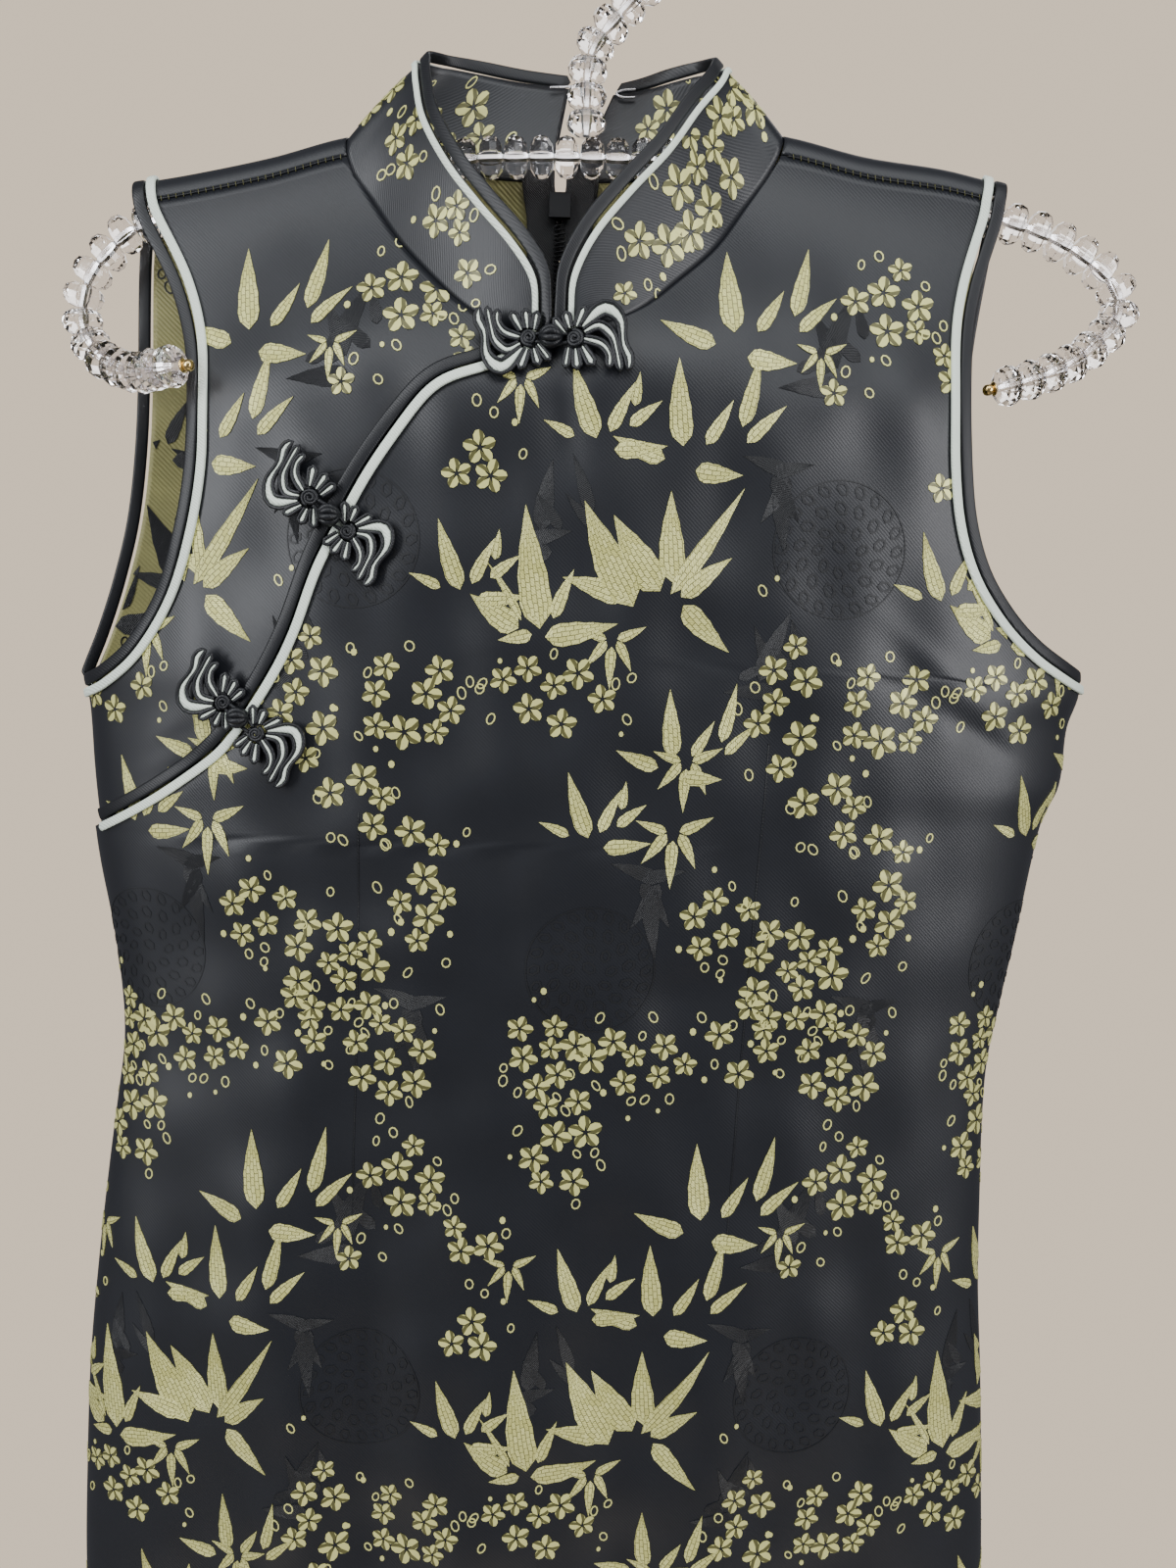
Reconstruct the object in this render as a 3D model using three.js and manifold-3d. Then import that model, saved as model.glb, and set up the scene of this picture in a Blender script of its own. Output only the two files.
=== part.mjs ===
// A sleeveless cheongsam on a beaded coat hanger.
//
// Millimetres, +Z up. The front of the dress faces -Y, and +X is to the right of someone
// who looks at that front. The origin is the inside of the hanger's hook, at its top, where
// the rod bears on it. Every piece that a maker would cut and sew is a mesh of its own, and
// neighbours keep SEAM_GAP between them.
//
// The cloth is one smooth shell, y = f(x, z), for the front and another for the back. The
// panels, the tapes on their edges and the frogs are all laid out in x and z and then
// mapped onto that shell, so they follow each other.

import * as THREE from 'three';
import { mergeVertices } from 'three/addons/utils/BufferGeometryUtils.js';
import Module from 'manifold-3d';

const wasm = await Module();
wasm.setup();

// ---------------------------------------------------------------- driving dimensions
const CLOTH = 1.2;
const COLLAR_WALL = 1.8;
const SEAM_GAP = 0.3;

const HEM_Z = -1040;
const SLIT_TOP_Z = -830;
const SLIT_GAPE = 2;

const SHOULDER_ROUND = 10.2; // radius of the cloth where it bends over the hanger
const SHOULDER_FLARE = 100; // height under the arm in which the cloth reaches full depth
const SECTION_POWER = 2.6; // a section is flat in the middle and turns in at the sides
const SECTION_ROUND = 0.55;

const BINDING = { width: 4.9, gap: 1.1, rise: 0.8, thickness: 2 };
const PIPING = { width: 3.6, gap: 0.9, thickness: 0.8 };
const FLAP = { lift: 2.4, tuck: 12, fade: 70 };

const FROG = { thickness: 2.2, reach: 31, breadth: 13, bare: 5.6, ball: 4.6 };

const BEAD_RADIUS = 7.7;
const HOOK_RADIUS = 25; // centre line of the hook
const HOOK_CENTRE_Z = BEAD_RADIUS - HOOK_RADIUS;
const STEM_X = -2;
const TIP_RADIUS = 2.6;

const ZIP = { x: -12, top: -104, bottom: -560, tape: 13, tapeThickness: 0.6, clearance: 1 };
const COIL = { top: -117, halfWidth: 2.6, thickness: 1.5 };
const PULL = { z: -108.3, y: 14.6, bar: 1.2, length: 23, halfWidth: 3.2 };

// How finely the cloth is faceted: columns of each panel, and stations along each tape.
const COLUMNS = { front: 17, underlap: 7, back: 8, collar: 3 };
const STATIONS = { armhole: 48, opening: 22, collar: 22 };

// ---------------------------------------------------------------- colours
const look = (color, roughness, metalness = 0) =>
  new THREE.MeshStandardMaterial({ color, roughness, metalness });
const BROCADE = look(0x20242b, 0.4);
const SATIN = look(0x15171c, 0.45);
const MINT = look(0xc9ddcf, 0.5);
const NYLON = look(0x101114, 0.6);
const STEEL = look(0xd9dadb, 0.3, 0.9);
const ENAMEL = look(0x17181b, 0.35, 0.5);
const CRYSTAL = look(0xe4e6ee, 0.1);
const GOLD = look(0xcaa14a, 0.25, 1);

// ---------------------------------------------------------------- tables
/** Smooth curves through rows of numbers. The first column is the key of the others. */
function smoothTable(names, rows) {
  const sorted = [...rows].sort((a, b) => a[0] - b[0]);
  const last = sorted.length - 1;
  const slope = (column, k) => {
    const before = sorted[Math.max(k - 1, 0)];
    const after = sorted[Math.min(k + 1, last)];
    return (after[column] - before[column]) / (after[0] - before[0]);
  };
  const curve = (column) => (key) => {
    if (key <= sorted[0][0]) return sorted[0][column];
    if (key >= sorted[last][0]) return sorted[last][column];
    const i = sorted.findIndex((row) => row[0] > key) - 1;
    const span = sorted[i + 1][0] - sorted[i][0];
    const t = (key - sorted[i][0]) / span;
    const rise = 3 * t * t - 2 * t * t * t;
    const leave = (t ** 3 - 2 * t * t + t) * span * slope(column, i);
    const arrive = (t ** 3 - t * t) * span * slope(column, i + 1);
    return sorted[i][column] * (1 - rise) + sorted[i + 1][column] * rise + leave + arrive;
  };
  return Object.fromEntries(names.slice(1).map((name, i) => [name, curve(i + 1)]));
}

// Side seams, and how far the front and the back stand out from the plane of the hanger.
const BODY = smoothTable(
  ['z', 'left', 'right', 'front', 'back'],
  [
    [-90, -190, 172, 42, 20],
    [-200, -197, 186, 44, 24],
    [-270, -203, 200, 44, 24],
    [-300, -205, 207, 44, 24],
    [-316, -203, 203, 43, 24],
    [-340, -202, 201.5, 42, 23],
    [-355, -201, 195.5, 41, 23],
    [-375, -199, 192, 40, 22],
    [-404, -195, 188, 38, 21],
    [-435, -193, 183, 36, 20],
    [-460, -193, 179.5, 35, 20],
    [-485, -196.5, 179, 35, 21],
    [-515, -201, 180, 35, 23],
    [-560, -207, 182, 36, 25],
    [-606, -212, 186, 37, 26],
    [-655, -215, 189.5, 37, 26],
    [-710, -217, 192.5, 36, 26],
    [-800, -215, 191, 35, 25],
    [-900, -210, 186, 34, 24],
    [HEM_Z, -204, 181, 33, 23],
  ],
);

// The line along the top of the shoulders, carried on through the neck.
const RIDGE = smoothTable(
  ['x', 'z'],
  [
    [-205, -114],
    [-179, -110],
    [-156, -106],
    [-124, -99],
    [-95, -91],
    [-60, -87],
    [0, -84],
    [45, -85],
    [75, -87],
    [107, -94],
    [138, -98],
    [162, -103],
    [190, -107],
  ],
);

// Soft folds that hang from the waist. x moves by drift for each mm down; depth is outward.
const FOLDS = [
  // side, top z, x there, drift, half width, depth
  ['front', -300, -165, 0.02, 16, -3],
  ['front', -440, -128, 0.05, 20, 3.5],
  ['front', -430, -84, 0.02, 15, -4],
  ['front', -470, -34, 0.0, 26, 3],
  ['front', -480, 22, 0.02, 18, -4],
  ['front', -450, 72, -0.02, 20, 3.5],
  ['front', -430, 122, 0.02, 16, -3.5],
  ['front', -190, 40, 0.1, 30, -2],
  ['back', -440, -110, 0.03, 24, -4],
  ['back', -460, -50, 0.0, 20, 3],
  ['back', -450, 40, 0.02, 22, -3.5],
  ['back', -430, 110, -0.02, 22, 3],
].map(([side, top, x, drift, width, depth]) => ({ side, top, x, drift, width, depth }));
const FOLD_FADE = 130;

// ---------------------------------------------------------------- the shell
const clamp = (value, low, high) => Math.min(Math.max(value, low), high);
const smoothStep = (t) => clamp(t, 0, 1) ** 2 * (3 - 2 * clamp(t, 0, 1));
const lerp = (a, b, t) => a + (b - a) * t;
const middleAt = (z) => (BODY.left(z) + BODY.right(z)) / 2;
const halfAt = (z) => (BODY.right(z) - BODY.left(z)) / 2;
const acrossAt = (x, z) => clamp((x - middleAt(z)) / halfAt(z), -1, 1);
const slitAt = (z) => SLIT_GAPE * smoothStep((SLIT_TOP_Z - z) / 70);

function foldDepth(side, x, z) {
  let depth = 0;
  for (const fold of FOLDS) {
    if (fold.side !== side) continue;
    const below = fold.top - z;
    const offset = (x - fold.x - fold.drift * below) / fold.width;
    depth += fold.depth * smoothStep(below / FOLD_FADE) * Math.exp(-offset * offset);
  }
  return depth;
}

/** Distance of the cloth from the plane of the hanger at (x, z). */
function depthAt(side, x, z) {
  const drop = RIDGE.z(x) - z;
  if (drop < SHOULDER_ROUND) {
    const under = SHOULDER_ROUND - Math.max(drop, 0);
    return Math.sqrt(SHOULDER_ROUND ** 2 - under ** 2);
  }
  const across = Math.abs(acrossAt(x, z));
  const section = (1 - across ** SECTION_POWER) ** SECTION_ROUND;
  const full = BODY[side](z) * section + foldDepth(side, x, z) * (1 - across ** 4);
  return lerp(SHOULDER_ROUND, full, smoothStep((drop - SHOULDER_ROUND) / SHOULDER_FLARE));
}

/** A point of the front or back shell, with the way out of the dress there. */
function cloth(side, anyX, z) {
  const sign = side === 'front' ? -1 : 1;
  const x = clamp(anyX, BODY.left(z), BODY.right(z));
  const at = (px, pz) => sign * (SEAM_GAP / 2 + slitAt(pz) + depthAt(side, px, pz));
  const step = 0.01;
  const inward = x > middleAt(z) ? -step : step;
  const y = at(x, z);
  const slopeX = (at(x + inward, z) - y) / inward;
  const slopeZ = (y - at(x, z - step)) / step;
  const normal = new THREE.Vector3(-sign * slopeX, sign, -sign * slopeZ).normalize();
  return { point: new THREE.Vector3(x, y, z), normal };
}

// ---------------------------------------------------------------- cutting lines, in x and z
const line = (rows) => new THREE.SplineCurve(rows.map(([x, z]) => new THREE.Vector2(x, z)));
const seamZ = (x) => RIDGE.z(x) - SHOULDER_ROUND;
const below = (x, gap) => [x, seamZ(x) - gap];

const NECK_LEFT = [
  below(-94, 0.15),
  [-92, -106],
  [-84, -118],
  [-72, -135],
  [-59, -149],
  [-47, -160],
  [-33, -168.5],
  [-20, -172.5],
];
const NECK_RIGHT = [
  below(73.5, 0.15),
  [69.5, -104],
  [60, -118],
  [48, -136],
  [34, -150],
  [22, -161],
  [8, -168.5],
  [-5, -172.5],
];
const OPENING = [
  [-5, -172.5],
  [-18, -177],
  [-36, -184],
  [-54, -191],
  [-68, -205],
  [-84, -228],
  [-98, -254],
  [-109, -282],
  [-123, -307],
  [-140, -329],
  [-166, -348],
  [-199.6, -366],
];
const ARMHOLE = {
  left: {
    ridge: -173.5,
    front: [
      [-168.5, -126],
      [-156, -150],
      [-148.5, -173],
      [-146, -197],
      [-147, -222],
      [-151.5, -247],
      [-160.5, -271],
      [-175, -292],
      [-191, -304],
      [-204.2, -309],
    ],
    back: [
      [-176.5, -140],
      [-178, -180],
      [-180, -210],
      [-184, -240],
      [-190, -265],
      [-196.5, -286],
      [-201.5, -300],
      [-204.2, -309],
    ],
  },
  right: {
    ridge: 157.5,
    front: [
      [153.5, -121],
      [146.5, -145],
      [143, -165],
      [142, -190],
      [143, -215],
      [146.5, -237],
      [154, -257],
      [166, -273],
      [181, -286],
      [197, -295],
      [207.2, -299],
    ],
    back: [
      [156, -130],
      [152.5, -160],
      [151.5, -190],
      [152.5, -215],
      [157, -240],
      [165, -262],
      [178, -280],
      [193, -291],
      [207.2, -299],
    ],
  },
};
const armholeLine = (hand, side) => {
  const { ridge } = ARMHOLE[hand];
  const inward = hand === 'left' ? 2.5 : -2.5;
  const shoulder = side === 'front' ? ridge + inward : ridge - inward / 2;
  return line([below(shoulder, 0.15), ...ARMHOLE[hand][side]]);
};

/** How far the flap is raised over the piece that is tucked under its edge. */
const OPENING_POINTS = line(OPENING).getSpacedPoints(60);
function flapLift(x, z) {
  const distance = Math.min(...OPENING_POINTS.map((p) => Math.hypot(p.x - x, p.y - z)));
  return FLAP.lift * (1 - smoothStep((distance - FLAP.tuck - 3) / FLAP.fade));
}
function flapCloth(side, x, z) {
  const { point, normal } = cloth(side, x, z);
  return { point: point.addScaledVector(normal, flapLift(x, z)), normal };
}

// ---------------------------------------------------------------- solids from rows of points
function solid(points, triangles) {
  const geometry = new THREE.BufferGeometry();
  const flat = points.flatMap((p) => [p.x, p.y, p.z]);
  geometry.setAttribute('position', new THREE.Float32BufferAttribute(flat, 3));
  geometry.setIndex(triangles.flat());
  return geometry;
}

/** A closed skin through rings of equally many points, with flat ends or joined round. */
function loft(rings, round = false) {
  const count = rings[0].length;
  const triangles = [];
  const index = (ring, k) => (ring % rings.length) * count + (k % count);
  const strips = round ? rings.length : rings.length - 1;
  for (let ring = 0; ring < strips; ring += 1) {
    for (let k = 0; k < count; k += 1) {
      const [a, b] = [index(ring, k), index(ring, k + 1)];
      const [c, d] = [index(ring + 1, k + 1), index(ring + 1, k)];
      triangles.push([a, b, c], [a, c, d]);
    }
  }
  for (let k = 1; !round && k < count - 1; k += 1) {
    const end = rings.length - 1;
    triangles.push([index(0, 0), index(0, k + 1), index(0, k)]);
    triangles.push([index(end, 0), index(end, k), index(end, k + 1)]);
  }
  return outward(solid(rings.flat(), triangles));
}

/** Turns a closed mesh's faces outward, by the sign of its volume. */
function outward(geometry) {
  const { index } = geometry;
  const { position } = geometry.attributes;
  const corner = (k) => new THREE.Vector3().fromBufferAttribute(position, index.getX(k));
  let volume = 0;
  for (let k = 0; k < index.count; k += 3) {
    volume += corner(k).dot(corner(k + 1).cross(corner(k + 2)));
  }
  if (volume < 0) {
    for (let k = 0; k < index.count; k += 3) {
      const swap = index.getX(k + 1);
      index.setX(k + 1, index.getX(k + 2));
      index.setX(k + 2, swap);
    }
  }
  return geometry;
}

/** A wall of even thickness under a grid of {point, normal}: grid[row][column]. */
function wall(grid, thickness) {
  const [rows, columns] = [grid.length, grid[0].length];
  const stations = grid.flat();
  const outer = stations.map(({ point }) => point);
  const inner = stations.map(({ point, normal }) => point.clone().addScaledVector(normal, -thickness));
  const at = (row, column) => row * columns + column;
  const under = (k) => k + rows * columns;
  const triangles = [];
  const quad = (a, b, c, d) => triangles.push([a, b, c], [a, c, d]);
  for (let row = 0; row < rows - 1; row += 1) {
    for (let column = 0; column < columns - 1; column += 1) {
      const [a, b] = [at(row, column), at(row, column + 1)];
      const [c, d] = [at(row + 1, column + 1), at(row + 1, column)];
      quad(a, b, c, d);
      quad(under(d), under(c), under(b), under(a));
    }
  }
  for (let row = 0; row < rows - 1; row += 1) {
    const [left, leftNext] = [at(row, 0), at(row + 1, 0)];
    const [right, rightNext] = [at(row, columns - 1), at(row + 1, columns - 1)];
    quad(left, leftNext, under(leftNext), under(left));
    quad(rightNext, right, under(right), under(rightNext));
  }
  for (let column = 0; column < columns - 1; column += 1) {
    const [top, topNext] = [at(0, column), at(0, column + 1)];
    const [foot, footNext] = [at(rows - 1, column), at(rows - 1, column + 1)];
    quad(topNext, top, under(top), under(topNext));
    quad(foot, footNext, under(footNext), under(foot));
  }
  return outward(solid([...outer, ...inner], triangles));
}

/**
 * A panel between a left and a right edge, each a list of [x, z] for its rows. Columns are
 * closer together where the cloth turns in at the sides. A row's middle follows the
 * shoulder line by its share in follow.
 */
function panel({ surface, side, left, right, columns, follow = () => 0 }) {
  return left.map(([leftX, leftZ], row) => {
    const [rightX, rightZ] = right[row];
    const from = Math.asin(acrossAt(leftX, leftZ));
    const to = Math.asin(acrossAt(rightX, rightZ));
    return Array.from({ length: columns + 1 }, (_, column) => {
      const t = column / columns;
      const across = Math.sin(lerp(from, to, t));
      const z = lerp(leftZ, rightZ, t);
      let x = middleAt(z) + halfAt(z) * across;
      if (column === 0) x = leftX;
      if (column === columns) x = rightX;
      const along = (x - leftX) / (rightX - leftX || 1);
      const straight = lerp(leftZ, rightZ, along);
      const bow = RIDGE.z(x) - lerp(RIDGE.z(leftX), RIDGE.z(rightX), along);
      return surface(side, x, straight + follow(row) * bow);
    });
  });
}

const DENSE = 160;
const BEND_LENGTH = 22; // mm that a radian of bend counts for, so that bends get more rows
const marksOn = (side, curve) => curve.getSpacedPoints(DENSE).map((p) => [side, p.x, p.y]);

/** Picks evenly along marks of [side, x, z], counting length and bend: indices of marks. */
function evenPicks(marks, count, round = false) {
  const shell = marks.map(([side, x, z]) => cloth(side, x, z));
  const lengths = [0];
  for (let k = 1; k < shell.length; k += 1) {
    const [here, last] = [shell[k], shell[k - 1]];
    const bend = here.normal.angleTo(last.normal) * BEND_LENGTH;
    lengths.push(lengths[k - 1] + here.point.distanceTo(last.point) + bend);
  }
  return Array.from({ length: round ? count : count + 1 }, (_, pick) => {
    const goal = (lengths.at(-1) * pick) / count;
    return lengths.findIndex((length) => length >= goal - 1e-6);
  });
}
const spaced = (curve, count, side = 'front') => {
  const marks = marksOn(side, curve);
  return evenPicks(marks, count).map((k) => marks[k].slice(1));
};
const sideRows = (hand, zs) => zs.map((z) => [BODY[hand](z), z]);
const steps = (from, to, count) => Array.from({ length: count }, (_, k) => lerp(from, to, (k + 1) / count));
const LOWER_ROWS = [-390, -415, -440, -465, -495, -530, -570, -615, -665, -720, -775, -830, -885, -960, HEM_Z];
const shoulderFollow = (row) => clamp(1 - row / 6, 0, 1);

// ---------------------------------------------------------------- tapes along an edge
/** Even stations along a line of [side, x, z], with the way off the edge. */
function trackStations(marks, count, { round = false, turn = 1, surface = cloth } = {}) {
  const dense = marks.map(([side, x, z]) => surface(side, x, z));
  const wrap = (i) => (round ? (i + dense.length) % dense.length : clamp(i, 0, dense.length - 1));
  const reach = 3;
  return evenPicks(marks, count, round).map((k) => {
    const [ahead, behind] = [dense[wrap(k + reach)], dense[wrap(k - reach)]];
    const tangent = ahead.point.clone().sub(behind.point).normalize();
    const { point, normal } = dense[k];
    const off = new THREE.Vector3().crossVectors(normal, tangent).multiplyScalar(turn).normalize();
    return { point, normal, off };
  });
}

/** A flat tape beside a track: from and to are measured off the edge, low and high outward. */
function tape(stations, from, to, low, high, round = false) {
  const corner = ({ point, normal, off }, side, rise) =>
    point.clone().addScaledVector(off, side).addScaledVector(normal, rise);
  const rings = stations.map((station) => [
    corner(station, from, low),
    corner(station, to, low),
    corner(station, to, high),
    corner(station, from, high),
  ]);
  return loft(rings, round);
}
const binding = (stations, round = false) =>
  tape(
    stations,
    BINDING.gap,
    BINDING.gap + BINDING.width,
    BINDING.rise - BINDING.thickness,
    BINDING.rise,
    round,
  );
const piping = (stations, round = false) =>
  tape(stations, -PIPING.width, 0, PIPING.gap, PIPING.gap + PIPING.thickness, round);

/** The armhole's edge: up the front, over the shoulder and down the back to the armpit. */
function armholeMarks(hand) {
  const { ridge } = ARMHOLE[hand];
  const over = (side, from, to) =>
    Array.from({ length: 12 }, (_, k) => {
      const angle = (lerp(from, to, k / 12) * Math.PI) / 180;
      const seamX = armholeLine(hand, side).getPoint(0).x;
      const x = lerp(ridge, seamX, Math.abs(angle) / (Math.PI / 2));
      return [side, x, RIDGE.z(x) - SHOULDER_ROUND * (1 - Math.cos(angle))];
    });
  const front = marksOn('front', armholeLine(hand, 'front')).reverse();
  const back = marksOn('back', armholeLine(hand, 'back')).slice(0, -1);
  return [...front.slice(0, -1), ...over('front', 90, 0), ...over('back', 0, 90), ...back];
}

// ---------------------------------------------------------------- body panels
const model = new THREE.Group();
function add(name, geometry, material) {
  const mesh = new THREE.Mesh(geometry, material);
  mesh.name = name;
  model.add(mesh);
}

function frontPanel() {
  const left = [
    ...spaced(line(NECK_RIGHT), 7),
    ...spaced(line(OPENING), 17).slice(1),
    ...sideRows('left', LOWER_ROWS),
  ];
  const armpit = ARMHOLE.right.front.at(-1)[1];
  const right = [
    ...spaced(armholeLine('right', 'front'), 16),
    ...sideRows('right', [armpit - 6, ...steps(armpit - 6, -367, 7)]),
    ...sideRows('right', LOWER_ROWS),
  ];
  const shape = { surface: flapCloth, side: 'front', left, right, columns: COLUMNS.front, follow: shoulderFollow };
  return wall(panel(shape), CLOTH);
}

/** The shoulder piece at the wearer's right, tucked FLAP.tuck under the flap. */
function frontUnderlap() {
  const tucked = OPENING.slice(1).map(([x, z]) => {
    const share = clamp((x + 190) / 60, 0, 1);
    return [x + FLAP.tuck * 0.8 * share, z - FLAP.tuck * 0.6 * share];
  });
  const right = [...spaced(line(NECK_LEFT), 6), ...spaced(line(tucked), 12)];
  const armpit = ARMHOLE.left.front.at(-1)[1];
  const foot = right.at(-1)[1];
  const left = [
    ...spaced(armholeLine('left', 'front'), 12),
    ...sideRows('left', [armpit - 6, ...steps(armpit - 6, foot, 5)]),
  ];
  const shape = { surface: cloth, side: 'front', left, right, columns: COLUMNS.underlap, follow: shoulderFollow };
  return wall(panel(shape), CLOTH);
}

// Where the back's neckline meets the shoulder: the angle over the ridge, +90 at the seam
// in front and -90 behind, and x of the neckline there.
const OVER_SHOULDER = {
  left: [
    [88.5, -94],
    [66, -94.6],
    [44, -95],
    [22, -95],
    [0, -95],
    [-22, -92.5],
    [-45, -88],
    [-67, -82],
    [-90, -71],
  ],
  right: [
    [88.5, 73.5],
    [66, 74.4],
    [44, 75],
    [22, 75],
    [0, 75],
    [-22, 73.5],
    [-45, 70],
    [-67, 64],
    [-90, 55],
  ],
};
const NECK_BACK = {
  left: [
    [-42, -101],
    [-15, -102.2],
  ],
  right: [
    [26, -100.6],
    [-9, -102.2],
  ],
};
const zipEdge = (hand, z) => {
  const gape = SEAM_GAP / 2 + 2.2 * smoothStep((z + 119) / 17);
  return [ZIP.x + (hand === 'left' ? -gape : gape), z];
};

function backPanel(hand) {
  const { ridge } = ARMHOLE[hand];
  const outer = (angle) => {
    const side = angle > 0 ? 'front' : 'back';
    return lerp(ridge, armholeLine(hand, side).getPoint(0).x, Math.abs(angle) / 90);
  };
  const overShoulder = OVER_SHOULDER[hand].map(([angle, neckX]) => {
    const side = angle > 0 ? 'front' : 'back';
    const drop = SHOULDER_ROUND * (1 - Math.cos((angle * Math.PI) / 180));
    return Array.from({ length: COLUMNS.back + 1 }, (_, column) => {
      const x = lerp(outer(angle), neckX, column / COLUMNS.back);
      return cloth(side, x, RIDGE.z(x) - drop);
    });
  });
  const armpit = ARMHOLE[hand].back.at(-1)[1];
  const upper = spaced(armholeLine(hand, 'back'), 14, 'back').slice(1);
  const lowerRows = [armpit - 4, armpit - 11, ...steps(armpit - 11, -367, 2), ...LOWER_ROWS];
  const sides = sideRows(hand, lowerRows);
  const middle = [
    ...NECK_BACK[hand],
    ...steps(-102.2, armpit, 12).map((z) => zipEdge(hand, z)),
    ...lowerRows.map((z) => zipEdge(hand, z)),
  ];
  const follow = (row) => clamp(1 - (row + 1) / 5, 0, 1);
  const lower = panel({
    surface: cloth,
    side: 'back',
    left: [...upper, ...sides],
    right: middle,
    columns: COLUMNS.back,
    follow,
  });
  return wall([...overShoulder, ...lower], CLOTH);
}

add('front_panel', frontPanel(), BROCADE);
add('front_underlap', frontUnderlap(), BROCADE);
add('back_left', backPanel('left'), BROCADE);
add('back_right', backPanel('right'), BROCADE);

// ---------------------------------------------------------------- armholes and opening
for (const [hand, turn] of [
  ['left', 1],
  ['right', -1],
]) {
  const stations = trackStations(armholeMarks(hand), STATIONS.armhole, { round: true, turn });
  add(`armhole_binding_${hand}`, binding(stations, true), SATIN);
  add(`armhole_piping_${hand}`, piping(stations, true), MINT);
}

const openingMarks = marksOn('front', line(OPENING)).slice(9, -3);
const openingTrack = trackStations(openingMarks, STATIONS.opening, { turn: -1, surface: flapCloth });
add('opening_binding', binding(openingTrack), SATIN);
add('opening_piping', piping(openingTrack), MINT);

// ---------------------------------------------------------------- collar
// Each half runs from the centre front to the centre back. Its foot is on the neckline and
// its free edge goes up the rounded front end and along the top.
const COLLAR = {
  left: [
    // side, foot x, foot z, edge x, edge y, edge z
    ['front', -19, -172, -12.9, -42.5, -171.5],
    ['front', -27, -170, -12.8, -43, -160],
    ['front', -36, -166.5, -14.5, -43, -148],
    ['front', -47, -159.4, -23, -41, -135],
    ['front', -59, -148.3, -36, -36, -120],
    ['front', -72, -134.2, -48, -30, -104.5],
    ['front', -84, -117.3, -58, -21, -86],
    ['front', -92, -105, -62, -11, -70],
    ['front', -93.8, -95, -63, -5, -62],
    ['back', -94.5, -91, -63, 0, -58],
    ['back', -86, -92.5, -56, 9, -55.5],
    ['back', -62, -98.5, -43, 14, -55.5],
    ['back', -36, -101, -27, 17, -57],
    ['back', -16, -101.5, -8.5, 18, -58.6],
  ],
  right: [
    ['front', -5.5, -172, -11.7, -42.5, -171.5],
    ['front', 2, -170, -11.6, -43, -160],
    ['front', 11, -166.5, -10, -43, -147],
    ['front', 22, -160.4, -2, -41, -131],
    ['front', 34, -149.3, 11, -36, -114],
    ['front', 48, -135.2, 25, -29, -97],
    ['front', 60, -117.3, 36, -20, -79],
    ['front', 69.5, -102, 44, -11, -67],
    ['front', 73.5, -91.5, 46.3, -5, -61],
    ['back', 74.6, -87, 47, 0, -58],
    ['back', 66, -90.5, 41, 8, -56],
    ['back', 44, -97.6, 30, 13, -57],
    ['back', 18, -100.6, 20, 17, -59],
    ['back', -8, -101.5, 11, 18, -61],
  ],
};

/** Foot and edge of one collar half as smooth curves, and the outward normal between. */
function collarStations(hand) {
  const turn = hand === 'left' ? -1 : 1;
  const surface = hand === 'left' ? cloth : flapCloth;
  const rows = COLLAR[hand];
  const curve = (points) => new THREE.CatmullRomCurve3(points, false, 'centripetal');
  const foot = curve(rows.map(([side, x, z]) => surface(side, x, z).point));
  const edge = curve(rows.map(([, , , x, y, z]) => new THREE.Vector3(x, y, z)));
  return Array.from({ length: STATIONS.collar + 1 }, (_, k) => {
    const t = lerp(0.02, 1, k / STATIONS.collar);
    const [low, high] = [foot.getPoint(t), edge.getPoint(t)];
    const down = low.clone().sub(high).normalize();
    const along = edge.getTangent(t);
    const normal = new THREE.Vector3().crossVectors(down, along).multiplyScalar(turn).normalize();
    return { low, high, down, along, normal, off: down.clone().negate() };
  });
}

for (const hand of ['left', 'right']) {
  const stations = collarStations(hand);
  const grid = stations.map(({ low, high, down, normal }) => {
    const start = low.clone().addScaledVector(down, -1);
    const stop = high.clone().addScaledVector(down, BINDING.width + BINDING.gap);
    return Array.from({ length: COLUMNS.collar + 1 }, (_, column) => ({
      point: start.clone().lerp(stop, column / COLUMNS.collar),
      normal,
    }));
  });
  const seam = stations.map(({ high, down, normal, off }) => ({
    point: high.clone().addScaledVector(down, BINDING.width + BINDING.gap),
    normal,
    off,
  }));
  add(`collar_${hand}`, wall(grid, COLLAR_WALL), BROCADE);
  add(`collar_binding_${hand}`, binding(seam), SATIN);
  add(`collar_piping_${hand}`, piping(seam), MINT);
}

// ---------------------------------------------------------------- frogs
const FROGS = [
  // centre x and z, tilt in degrees, height off the cloth, z above which it hangs straight
  { name: 'frog_neck', x: -12, z: -176.5, tilt: 0, base: 4.6, top: -174 },
  { name: 'frog_chest', x: -93.5, z: -239.5, tilt: -43, base: 4.4, top: 0 },
  { name: 'frog_side', x: -129, z: -316.5, tilt: -42, base: 4.4, top: 0 },
];
const HALF_OUTLINE = [
  // along the axis from the button, across it
  [0, 0.12],
  [0.07, 0.75],
  [0.3, 1],
  [0.62, 0.95],
  [0.88, 0.7],
  [1, 0.2],
  [1, -0.2],
  [0.88, -0.7],
  [0.62, -0.95],
  [0.3, -1],
  [0.07, -0.75],
  [0, -0.12],
];

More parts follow.
